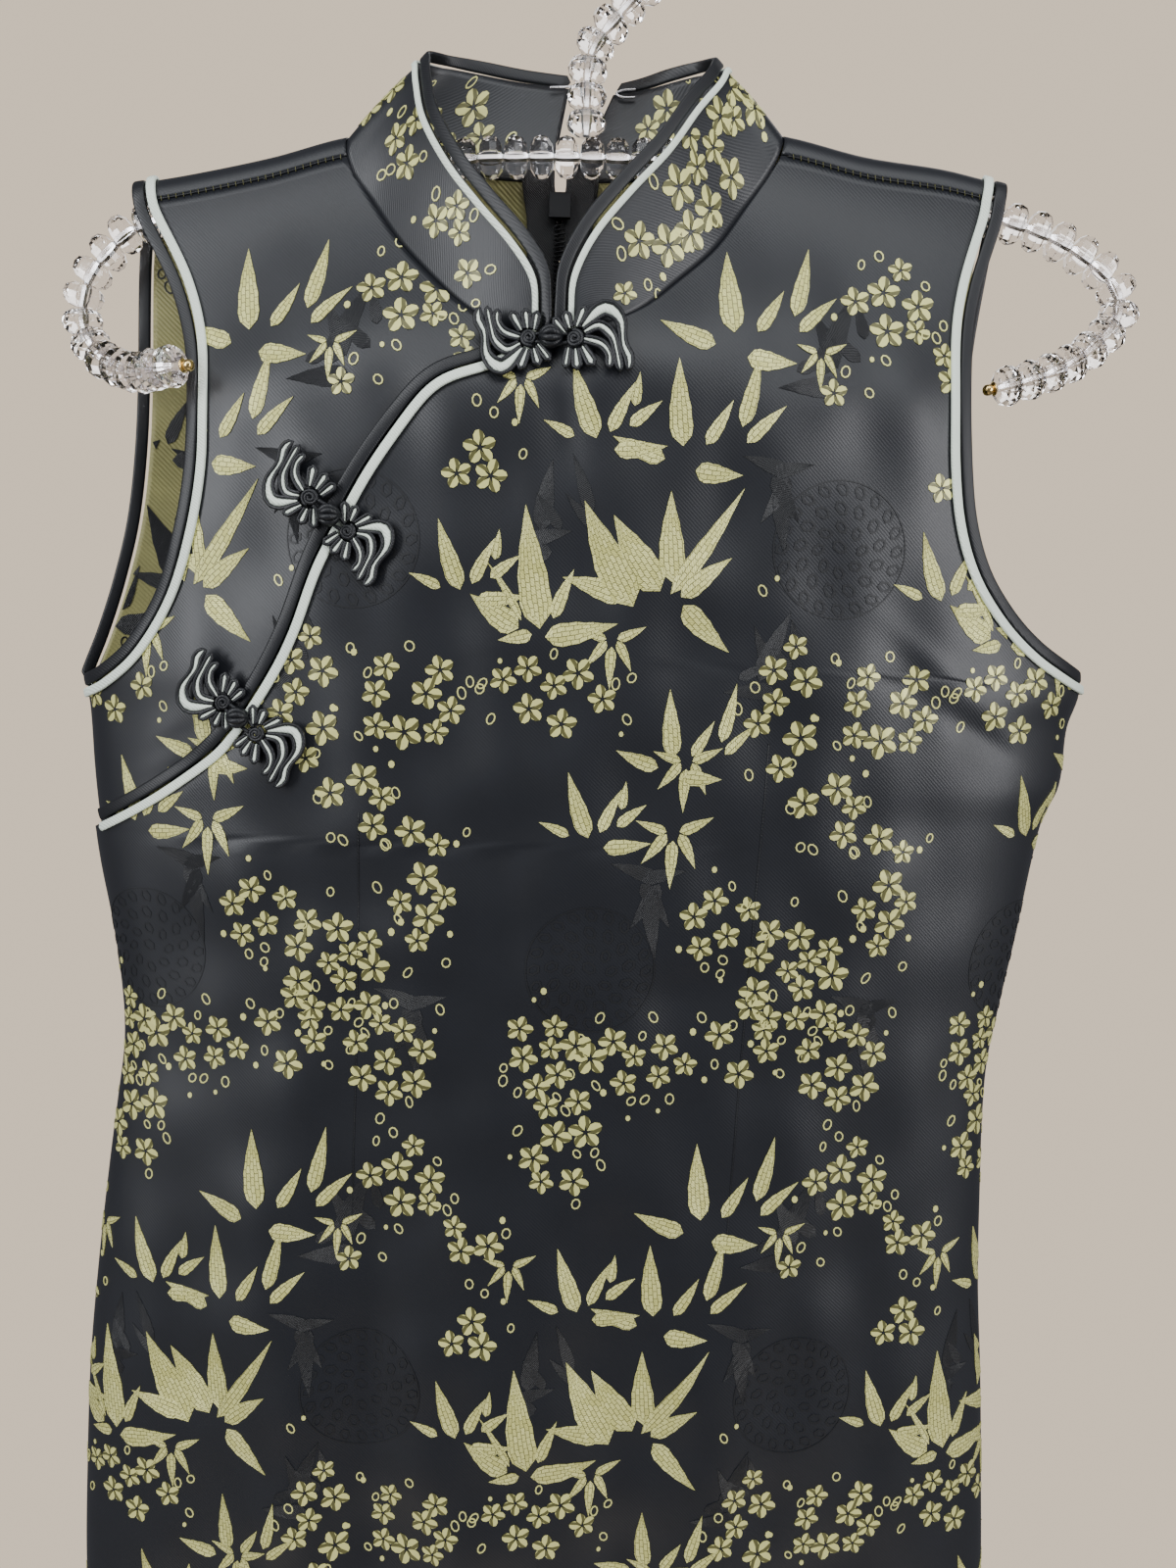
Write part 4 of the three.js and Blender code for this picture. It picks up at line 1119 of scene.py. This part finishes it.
def plum_cluster(figures, s, z, reach_s, reach_z, blossoms):
    placed = []
    for _ in range(600):
        if len(placed) == blossoms:
            break
        angle, far = random.uniform(0, 2 * np.pi), math.sqrt(random.uniform(0, 1))
        at = (s + reach_s * far * math.cos(angle), z + reach_z * far * math.sin(angle))
        radius = random.uniform(4.9, 7.2)
        if all(math.dist(at, p[:2]) > 0.86 * (radius + p[2]) for p in placed):
            placed.append((*at, radius))
    for bloom in placed:
        petal_ring(figures, *bloom, random.uniform(0, 72))
    rim = []
    for _ in range(400):
        if len(rim) > blossoms * 0.9 + 1:
            break
        angle, far = random.uniform(0, 2 * np.pi), random.uniform(0.8, 1.5)
        at = (s + (reach_s + 3) * far * math.cos(angle), z + (reach_z + 3) * far * math.sin(angle))
        clear = all(math.dist(at, p[:2]) > p[2] + 1.8 for p in placed)
        if clear and all(math.dist(at, p) > 4.5 for p in rim):
            rim.append(at)
    for k, at in enumerate(rim):
        if k % 3 == 2:
            dot(figures, *at, random.uniform(0.9, 1.4))
        else:
            wide, tall = random.uniform(1.5, 2.0), random.uniform(2.0, 2.7)
            ring(figures, *at, wide, tall, random.uniform(-40, 40))


def roundel(figures, s, z):
    for radius, number, size in ((22.5, 20, 3.0), (15.5, 13, 3.1), (8.5, 8, 2.8), (1.2, 1, 3.2)):
        for k in range(number):
            angle = 2 * np.pi * (k + 0.3 * (number % 2)) / number
            at = (s + radius * math.cos(angle), z + radius * math.sin(angle))
            ring(figures, *at, size, size * 0.75, math.degrees(angle) + 35, DARK, 0.9, 6)
    ring(figures, s, z, 26, 26, 0, DARK, 0.5, 48)


def lay_sprays(figures, sprays, turn=1, kind=GOLD):
    for name, s, z, size in sprays:
        for lean, length, width, aside, up, bend in SPRAYS[name]:
            root = s + aside * size, z + up * size
            leaf(figures, *root, turn * lean, length * size, width * size, bend, kind)


def one_repeat():
    figures = Cloth_figures()
    lay_sprays(figures, BAMBOO)
    for row in PLUM:
        plum_cluster(figures, *row)
    for place in ROUNDELS:
        roundel(figures, *place)
    lay_sprays(figures, DARK_SPRAYS, -1, DARK)
    return figures


FIGURES = one_repeat()
UNIT = np.concatenate(FIGURES.points)
UNIT_YARN = np.concatenate(FIGURES.yarns)
UNIT_FACES = [f for group in FIGURES.faces for f in group]
UNIT_KINDS = [k for group in FIGURES.kinds for k in group]
print("one repeat:", len(UNIT_FACES), "faces")


# %% [markdown]
# ### The repeat on the panels
# Each copy of the repeat is shifted in fabric coordinates and turned into x and z. Only
# shapes that lie wholly inside the panel's outline stay, as a cutter's edge would leave
# them, and each gets a thin wall so that it stands proud of the satin.


# %% Lay the repeat on each panel
def inside(outline, x, z):
    """Even-odd test of points against a closed outline."""
    result = np.zeros(len(x), bool)
    for (ax, az), (bx, bz) in zip(outline, np.roll(outline, -1, 0)):
        crosses = (az > z) != (bz > z)
        if az != bz:
            result ^= crosses & (x < (bx - ax) * (z - az) / (bz - az) + ax)
    return result


def figures_mesh(name, points, faces, yarns, ways):
    """A mesh of the used points, with every face turned to look along ways."""
    used = np.unique(np.concatenate([np.array(f) for f in faces]))
    order = np.full(len(points), -1)
    order[used] = np.arange(len(used))
    mesh = bpy.data.meshes.new(name)
    mesh.from_pydata((points[used] * MM).tolist(), [], [[int(order[i]) for i in f] for f in faces])
    corners = np.zeros(len(mesh.loops), int)
    mesh.loops.foreach_get("vertex_index", corners)
    layer = mesh.uv_layers.new(name="Weave")
    layer.data.foreach_set("uv", (yarns[used][corners] * MM).ravel())
    mesh.update()
    form = bmesh.new()
    form.from_mesh(mesh)
    ways = ways[used]
    flip = [f for f in form.faces if f.normal.dot(Vector(ways[f.verts[0].index])) < 0]
    bmesh.ops.reverse_faces(form, faces=flip)
    form.to_mesh(mesh)
    form.free()
    return mesh


def lay_figures(name, side, outline, surface, origin, kind, material, lift=0.3, lowest=HEM + 1):
    """Trims the repeated figures of one kind to a panel and raises them on its surface."""
    marks, faces, yarns = [], [], []
    count = 0
    wanted = [f for f, k in zip(UNIT_FACES, UNIT_KINDS) if k == kind]
    for i in range(-3, 3):
        for j in range(4):
            s, z = (UNIT + np.array(origin) + (i * REPEAT_S, -j * REPEAT_Z)).T
            x = x_at(side, s, z)
            good = ~np.isnan(x) & (z > lowest)
            good[good] = inside(outline, x[good], z[good])
            if not good.any():
                continue
            faces += [[p + count for p in f] for f in wanted if good[f].all()]
            marks.append(np.stack([np.where(good, x, 0), np.where(good, z, -400)], -1))
            yarns.append(UNIT_YARN)
            count += len(UNIT)
    marks = np.concatenate(marks)
    points, ways = surface(side, marks[:, 0], marks[:, 1], np.full(len(marks), lift))
    mesh = figures_mesh(name, points, faces, np.concatenate(yarns), ways * np.sign(lift))
    piece = wall(new_object(name, mesh, [material]), 0.25)
    print(name, len(faces), "faces")
    return piece


gold_yarn, tree, shader = node_material("gold_yarn", (0.76, 0.74, 0.3), 0.38, 0.15)
vector = weave(tree, shader, 520, 0.0002)
brick = tree.nodes.new("ShaderNodeTexBrick")
brick.inputs["Color1"].default_value = (0.74, 0.72, 0.28, 1)
brick.inputs["Color2"].default_value = (0.58, 0.56, 0.18, 1)
brick.inputs["Mortar"].default_value = (0.12, 0.115, 0.04, 1)
brick.inputs["Scale"].default_value = 1
brick.inputs["Mortar Size"].default_value = 0.00016
brick.inputs["Mortar Smooth"].default_value = 0.3
brick.inputs["Brick Width"].default_value = 0.0032
brick.inputs["Row Height"].default_value = 0.0018
tree.links.new(vector, brick.inputs["Vector"])
tree.links.new(brick.outputs["Color"], shader.inputs["Base Color"])
dark_yarn, tree, shader = node_material("dark_yarn", (0.006, 0.006, 0.008), 0.5)
weave(tree, shader, 700, 0.0003, color=(0.009, 0.01, 0.013), dark=0.4)

ORIGIN = (-21, -132)
for name, (side, outline, surface) in PANELS.items():
    lay_figures(f"{name}_gold", side, outline, surface, ORIGIN, GOLD, gold_yarn)
    lay_figures(f"{name}_dark", side, outline, surface, ORIGIN, DARK, dark_yarn, 0.2)
for name in ("back_left", "back_right"):
    side, outline, surface = PANELS[name]
    lay_figures(f"{name}_inside", side, outline, surface, ORIGIN, GOLD, dark_yarn, -1.3, -340)

# %% [markdown]
# ## Frogs
# A frog is black cord sewn into loops round a wound centre, with pale satin stuffed into
# each loop, and a knotted ball between its two halves. A loop is drawn by the line down
# its middle and a few half widths along it. The fill is a domed ribbon, the cord runs
# round it, and the right half is the left one turned half a turn about the ball.

# %% Frogs
# each loop: points (outward from the centre, across), and half widths from root to tip
LOOPS = [
    (
        [(2.6, -4), (9.3, -10.6), (15.1, -6.9), (16.3, 1.7), (18.6, 6), (18.4, 9.6)],
        (0.4, 1.5, 1.9, 1.1, 0.4, 0.9, 1.0),
    ),
    (
        [(3.3, -2.2), (7.9, -4.5), (12.2, -1.2), (13.8, 3.6), (15.2, 9.8)],
        (0.4, 0.8, 0.9, 0.5, 0.4, 0.7),
    ),
    ([(3.4, 0.2), (8.9, 2.0), (11.5, 5.4), (11.6, 9.0)], (0.4, 0.7, 0.6, 0.4, 0.7)),
    ([(2.9, 2.9), (6.2, 8.4)], (0.3, 0.7, 0.9)),
    ([(0.6, 3.6), (1.4, 9.4)], (0.3, 0.7, 0.9)),
    ([(-1.9, 3.2), (-2.9, 8.8)], (0.3, 0.6, 0.7)),
    ([(-3.4, -2.2), (-7.6, -6.8)], (0.3, 0.6, 0.7)),
    ([(-1.8, -3.8), (-3.4, -8.8)], (0.3, 0.7, 0.9)),
    ([(0.6, -4.2), (2.9, -10.4)], (0.3, 0.7, 0.8)),
]
CORD = 0.72
DISC_AWAY = 8.9
# name, x, z, tilt in degrees, height over the cloth, z above which it hangs straight
FROGS = [
    ("frog_neck", -12, -176.5, 0, 4.9, -174),
    ("frog_chest", -93.5, -239.5, -43, 4.5, 0),
    ("frog_side", -129, -316.5, -42, 4.5, 0),
]
# share of a loop's half width, and height there
DOME = np.array([(-1, 0.2), (-0.6, 0.85), (0, 1.1), (0.6, 0.85), (1, 0.2)])
LOOP_ROWS = 18


def frog_place(x, z, tilt, base, top, sign):
    c, s = math.cos(math.radians(tilt)), math.sin(math.radians(tilt))

    def place(points, rise):
        """Local points (outward from the ball, across) to the dress, raised by rise."""
        a, b = points[:, 0] * sign, points[:, 1] * sign
        px, pz = x + a * c - b * s, z + a * s + b * c
        point, normal = cloth(FRONT, px, np.minimum(pz, top), base + np.asarray(rise))
        point[:, 2] += pz - np.minimum(pz, top)
        return point

    return place


def add_fill(form, middle, aside, half, place):
    """A domed ribbon of satin along a loop."""

    def onto_loop(u, v):
        share, height = rows_between(DOME, u * (len(DOME) - 1)).T
        row = np.round(v * (LOOP_ROWS - 1)).astype(int)
        return place(middle[row] + aside[row] * (half[row] * share)[:, None], height)

    add_grid(form, len(DOME) - 1, LOOP_ROWS - 1, onto_loop)


for name, x, z, tilt, base, top in FROGS:
    for hand, sign in (("left", -1), ("right", 1)):
        place = frog_place(x, z, tilt, base, top, sign)
        cords = []
        satin = bmesh.new()
        for marks, widths in LOOPS:
            marks = np.array(marks) * (1, -1) + (DISC_AWAY, 0)
            middle = spline(marks, LOOP_ROWS)
            way = unit(np.gradient(middle, axis=0))
            aside = np.stack([-way[:, 1], way[:, 0]], -1)
            share = np.linspace(0, 1, LOOP_ROWS)
            half = np.interp(share, np.linspace(0, 1, len(widths)), widths)
            tip = np.sqrt(np.clip(1 - ((share - 0.86) / 0.14).clip(0, 1) ** 2, 0, 1))
            add_fill(satin, middle, aside, half * np.maximum(tip, 0.15), place)
            reach = (half * tip + CORD * 0.8)[:, None]
            tip_mark = middle[-1:] + way[-1:] * CORD
            back = (middle - aside * reach)[::-1]
            outline = np.concatenate([middle + aside * reach, tip_mark, back])
            cords.append(place(even(outline, 44), 0.55))
        turns = np.linspace(0, 4.6 * np.pi, 60)
        away = 0.5 + turns * 0.17
        wound = np.stack([DISC_AWAY + away * np.cos(turns), away * np.sin(turns)], -1)
        cords.append(place(wound, 1.3 - turns * 0.03))
        tail = spline([(DISC_AWAY - 2.5, 1.4), (4.6, 1.6), (1.5, 2.2), (-1, 1.8)], 14)
        cords.append(place(tail, 0.9))
        cords.append(place(tail * (1, -1), 0.9))
        mesh = cord_mesh(f"{name}_{hand}", cords, CORD, 7)
        piece = new_object(f"{name}_{hand}", mesh, [black_satin])
        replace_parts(piece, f"{name}_{hand}")
        bmesh.ops.recalc_face_normals(satin, faces=satin.faces)
        flip = [f for f in satin.faces if f.normal.y > 0]
        bmesh.ops.reverse_faces(satin, faces=flip)
        mesh = finished(satin, f"{name}_{hand}_fill")
        wall(new_object(f"{name}_{hand}_fill", mesh, [mint_satin]), 0.5)
    centre = cloth(FRONT, np.array([x]), np.array([z]), base + 2.6)[0][0]
    knots = []
    for k in range(4):
        lean = math.radians(45 * k + 20)
        angle = np.linspace(0, 2 * np.pi, 25)[:-1]
        across, up = np.cos(angle), np.sin(angle)
        circle = np.stack([across, up * math.cos(lean), up * math.sin(lean)], -1) * 3.1
        circle[:, 0] += 0.5 * math.sin(3 * k)
        knots.append(circle + centre)
    knot = cord_mesh(f"{name}_button", knots, 1.25, 8, closed=True)
    form = bmesh.new()
    form.from_mesh(knot)
    at = Matrix.Translation(centre * MM)
    bmesh.ops.create_icosphere(form, subdivisions=2, radius=3.2 * MM, matrix=at)
    form.to_mesh(knot)
    form.free()
    piece = new_object(f"{name}_button", knot, [black_satin])
    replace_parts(piece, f"{name}_button")
print("frogs", len(FROGS))

# %% [markdown]
# ## Hanger
# Clear faceted beads are threaded on a bright bent wire. One bead is a sphere with few
# facets, pressed flat along the wire, and is set at even steps along the arms and the
# hook. Flat shading keeps the facets sharp, because cut acrylic sparkles at its edges.

# %% Hanger
ARMS = [
    (-150, -38, -186),
    (-159, -34, -186),
    (-169, -24, -186),
    (-181, -13, -183),
    (-193, -5, -177),
    (-200.5, -1, -167),
    (-202, 0, -156),
    (-198, 0, -144),
    (-189, 0, -133.5),
    (-179, 0, -126),
    (-150, 0.4, -116.5),
    (-120, 0.4, -109),
    (-95, 0.4, -103),
    (-60, 0.4, -98),
    (-20, 0, -96),
    (20, 0, -96),
    (50, 0, -97),
    (75, 0, -99),
    (107, 0, -104.6),
    (138, 0, -109.5),
    (162, 0, -115.5),
    (182, 0, -121.5),
    (198, 0, -130),
    (209.5, 0, -140),
    (211.5, -1, -151),
    (203, -4, -162.5),
    (191, -7, -171.5),
    (178, -11, -177.5),
    (166, -14, -181.5),
    (160, -15, -183),
]
hook_turn = np.radians(np.linspace(-50, 195, 14))
HOOK = [(-2, 0, -87.8), (-2, 0, -76), (-2, 0, -65), (0.5, 0, -55), (7, 0, -46.5)]
HOOK += [(25 * math.cos(a), 0, -17.3 + 25 * math.sin(a)) for a in hook_turn]


BEAD_RADIUS, BEAD_PITCH = 7.9, 9.9


def bead(form, centre, way, radius, length, sides=11, rings=6):
    turn = Vector(way).to_track_quat("Z", "Y").to_matrix().to_4x4()
    spin = Matrix.Rotation(random.uniform(0, 0.6), 4, "Z")
    size = Matrix.Diagonal((radius * MM, radius * MM, length / 2 * MM, 1))
    at = Matrix.Translation(Vector(centre) * MM)
    made = bmesh.ops.create_uvsphere(form, u_segments=sides, v_segments=rings, radius=1)["verts"]
    for vert in made:
        round_share = math.sqrt(max(1 - vert.co.z**2, 0))
        if round_share > 0.01:
            fuller = (round_share**0.72) / round_share
            vert.co.x *= fuller
            vert.co.y *= fuller
        vert.co.z = math.copysign(abs(vert.co.z) ** 0.9, vert.co.z)
    bmesh.ops.transform(form, matrix=at @ turn @ spin @ size, verts=made)


def beaded(name, marks, pitch):
    length = np.linalg.norm(np.diff(spline(marks, 400), axis=0), axis=1).sum()
    number = round(length / pitch)
    path = spline(marks, 2 * number + 1)
    form = bmesh.new()
    for k in range(number):
        way = path[2 * k + 2] - path[2 * k]
        bead(form, path[2 * k + 1], way, BEAD_RADIUS, length / number * 0.98)
    piece = new_object(name, finished(form, name, False), [crystal])
    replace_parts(piece, name)
    wire = cord_mesh(f"{name}_wire", [path], 1.5, 6)
    for polygon in wire.polygons:
        polygon.use_smooth = False
    new_object(f"{name}_wire", wire, [steel])
    print(name, number, "beads")
    return path


arms = beaded("hanger_arms", ARMS, BEAD_PITCH)
hook = beaded("hanger_hook", HOOK, BEAD_PITCH)
TIPS = [("left", arms[0], arms[1]), ("right", arms[-1], arms[-2]), ("hook", hook[-1], hook[-2])]
for hand, end, before in TIPS:
    way = unit(end - before)
    form = bmesh.new()
    bead(form, end + way * 0.7, way, 2.7, 1.2, 20, 8)
    bead(form, end + way * 2.9, way, 2.2, 4.2, 20, 12)
    mesh = finished(form, f"hanger_tip_{hand}")
    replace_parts(new_object(f"hanger_tip_{hand}", mesh, [gilt]), f"hanger_tip_{hand}")

# %% [markdown]
# ## Zip, hook and eye, seams
# The zip shows at the neck: two woven tapes and a coil, which is a fine cord wound along
# the seam. The wire hook and eye on the collar's halves above it stand open.


# %% Zip and closures
ZIP_TOP, ZIP_FOOT, TAPE_WIDE = -98, -560, 13
COIL_TOP, COIL_PITCH = -118, 1.6


def zip_tape(hand):
    sign = -1 if hand == "left" else 1

    def place(u, v):
        z = ZIP_TOP + (ZIP_FOOT - ZIP_TOP) * v
        x = zip_edge(hand, z)[:, 0] + sign * u * TAPE_WIDE
        return cloth(BACK, x, z, np.full_like(x, -2.2))[0]

    def out(u, v):
        return cloth(BACK, ZIP_X + u, ZIP_TOP + (ZIP_FOOT - ZIP_TOP) * v)[1]

    mesh = grid_mesh(f"zip_tape_{hand}", 6, 80, place, out)
    piece = wall(new_object(f"zip_tape_{hand}", mesh, [nylon]), 0.6)
    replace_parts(piece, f"zip_tape_{hand}")


zip_tape("left")
zip_tape("right")
# Painted shade: the steel slider and pull are made black, for the shade inside the neck.
for node in ("zip_slider", "zip_pull"):
    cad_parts[node].data.materials.clear()
    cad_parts[node].data.materials.append(slider_painted_shade)
coil_z = np.linspace(COIL_TOP, ZIP_FOOT + 1, 1800)
coil_turn = (coil_z - COIL_TOP) / COIL_PITCH * 2 * np.pi
seat = cloth(BACK, np.full_like(coil_z, ZIP_X), coil_z, np.full_like(coil_z, -4.0))[0]
seat[:, 0] += 2.3 * np.cos(coil_turn)
seat[:, 1] += 0.5 * np.sin(coil_turn)
piece = new_object("zip_coil", cord_mesh("zip_coil", [seat], 0.32, 4), [nylon])
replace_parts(piece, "zip_coil")
HOOK_WIRE = [(-17, 12.4, -65), (-11.5, 13.2, -64.4), (-6.5, 13.8, -63.8)]
HOOK_WIRE += [(-5.2, 13.2, -64.8), (-6.6, 12.6, -65.8)]
EYE_WIRE = [(17.2, 12.4, -65), (12.2, 13, -65.2), (9.6, 13.2, -66.4)]
EYE_WIRE += [(12, 13, -67.8), (17, 12.4, -68)]
for name, marks in (("collar_hook", HOOK_WIRE), ("collar_eye", EYE_WIRE)):
    wire = cord_mesh(name, [spline(marks, 40)], 0.5, 8)
    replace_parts(new_object(name, wire, [steel]), name)

# %% [markdown]
# ## Seams and stitches
# Shoulder seams and darts are fine lines in the cloth. Small hand stitches cross the
# shoulder seams at even steps.

# %% Seams and stitches
seams, ticks = [], []
for start, stop in ((-168, -96), (76, 152)):
    x = np.linspace(start, stop, 60)
    z = ridge_z(x) - SHOULDER_ROUND
    seams.append(cloth(FRONT, x, z, np.full_like(x, 0.15))[0])
    for at in np.arange(start + 2, stop, 2.9):
        x = np.array([at, at + 0.25])
        z = ridge_z(x) - SHOULDER_ROUND + np.array([0.9, -0.9])
        ticks.append(cloth(FRONT, x, z, np.full(2, 0.3))[0])
for top, foot in (((-84, -352), (-89, -525)), ((74, -322), (66, -530))):
    x, z = np.linspace(top[0], foot[0], 80), np.linspace(top[1], foot[1], 80)
    seams.append(flap_cloth(FRONT, x, z, np.full_like(x, 0.02))[0])
new_object("seam_lines", cord_mesh("seam_lines", seams, 0.32, 6), [black_satin])
new_object("seam_stitches", cord_mesh("seam_stitches", ticks, 0.17, 5), [gold_yarn])

# %% [markdown]
# ## Figures on the collar and the reverse
# The collar is cut from the same cloth, so it has the same plum clusters, laid in its own
# length and height. Inside the back the weave is reversed: gold ground, black figures.

# %% Collar and reverse figures
# s from the centre front, height above the foot, reach along and up, blossoms
COLLAR_PLUM = {
    "left": [
        (60, 22, 9, 8, 3),
        (96, 24, 10, 8, 4),
        (36, 9, 5, 5, 1),
        (128, 20, 10, 9, 4),
        (160, 16, 12, 8, 4),
    ],
    "right": [
        (84, 20, 17, 12, 8),
        (112, 24, 10, 9, 4),
        (46, 14, 8, 8, 2),
        (30, 9, 6, 6, 2),
        (62, 9, 6, 5, 2),
        (150, 18, 16, 9, 5),
    ],
}
COLLAR_TALL = 34.0
OUTSIDE, INSIDE = 0.3, -2.1
for hand in ("left", "right"):
    piece, area, length, place, rows_at = COLLAR_SHEETS[hand]
    figures = Cloth_figures()
    for row in COLLAR_PLUM[hand]:
        plum_cluster(figures, *row)
    run, height = np.concatenate(figures.points).T
    good = (run > 4) & (run < length - 3) & (height > 0.5) & (height < COLLAR_TALL - 0.5)
    u, v = height / COLLAR_TALL, np.clip(run / length, 0, 1)
    faces = [f for group in figures.faces for f in group if good[f].all()]
    yarns, out = np.concatenate(figures.yarns), rows_at(v)[2]
    for part, lift, ways in (("gold", OUTSIDE, out), ("inside", INSIDE, -out)):
        name = f"collar_{hand}_{part}"
        mesh = figures_mesh(name, place(u, v, lift), faces, yarns, ways)
        wall(new_object(name, mesh, [gold_yarn]), 0.25)

# %% [markdown]
# ## The sheets, and the end
# Each panel is one flat sheet, and the dress hangs from the hanger; each half of the collar is a
# strip sewn to the back's neckline. Here each panel takes the place of its CAD node, and its
# area is capped at its flat width times length, less 1 %. The box of all pieces is kept beside the
# CAD's.

FLATS = {
    "front_panel": (front, front_area, 0.48, 0.95),
    "front_underlap": (underlap, underlap_area, 0.2, 0.28),
    "back_left": (*backs["left"], 0.25, 0.96),
    "back_right": (*backs["right"], 0.25, 0.96),
}
for name, (piece, area, width, length) in FLATS.items():
    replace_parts(piece, name)
    area = round(min(area, width * length * 0.99), 4)

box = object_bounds()
sizes = {key: [list(map(float, c)) for c in b] for key, b in (("cad", cad_box), ("visual", box))}
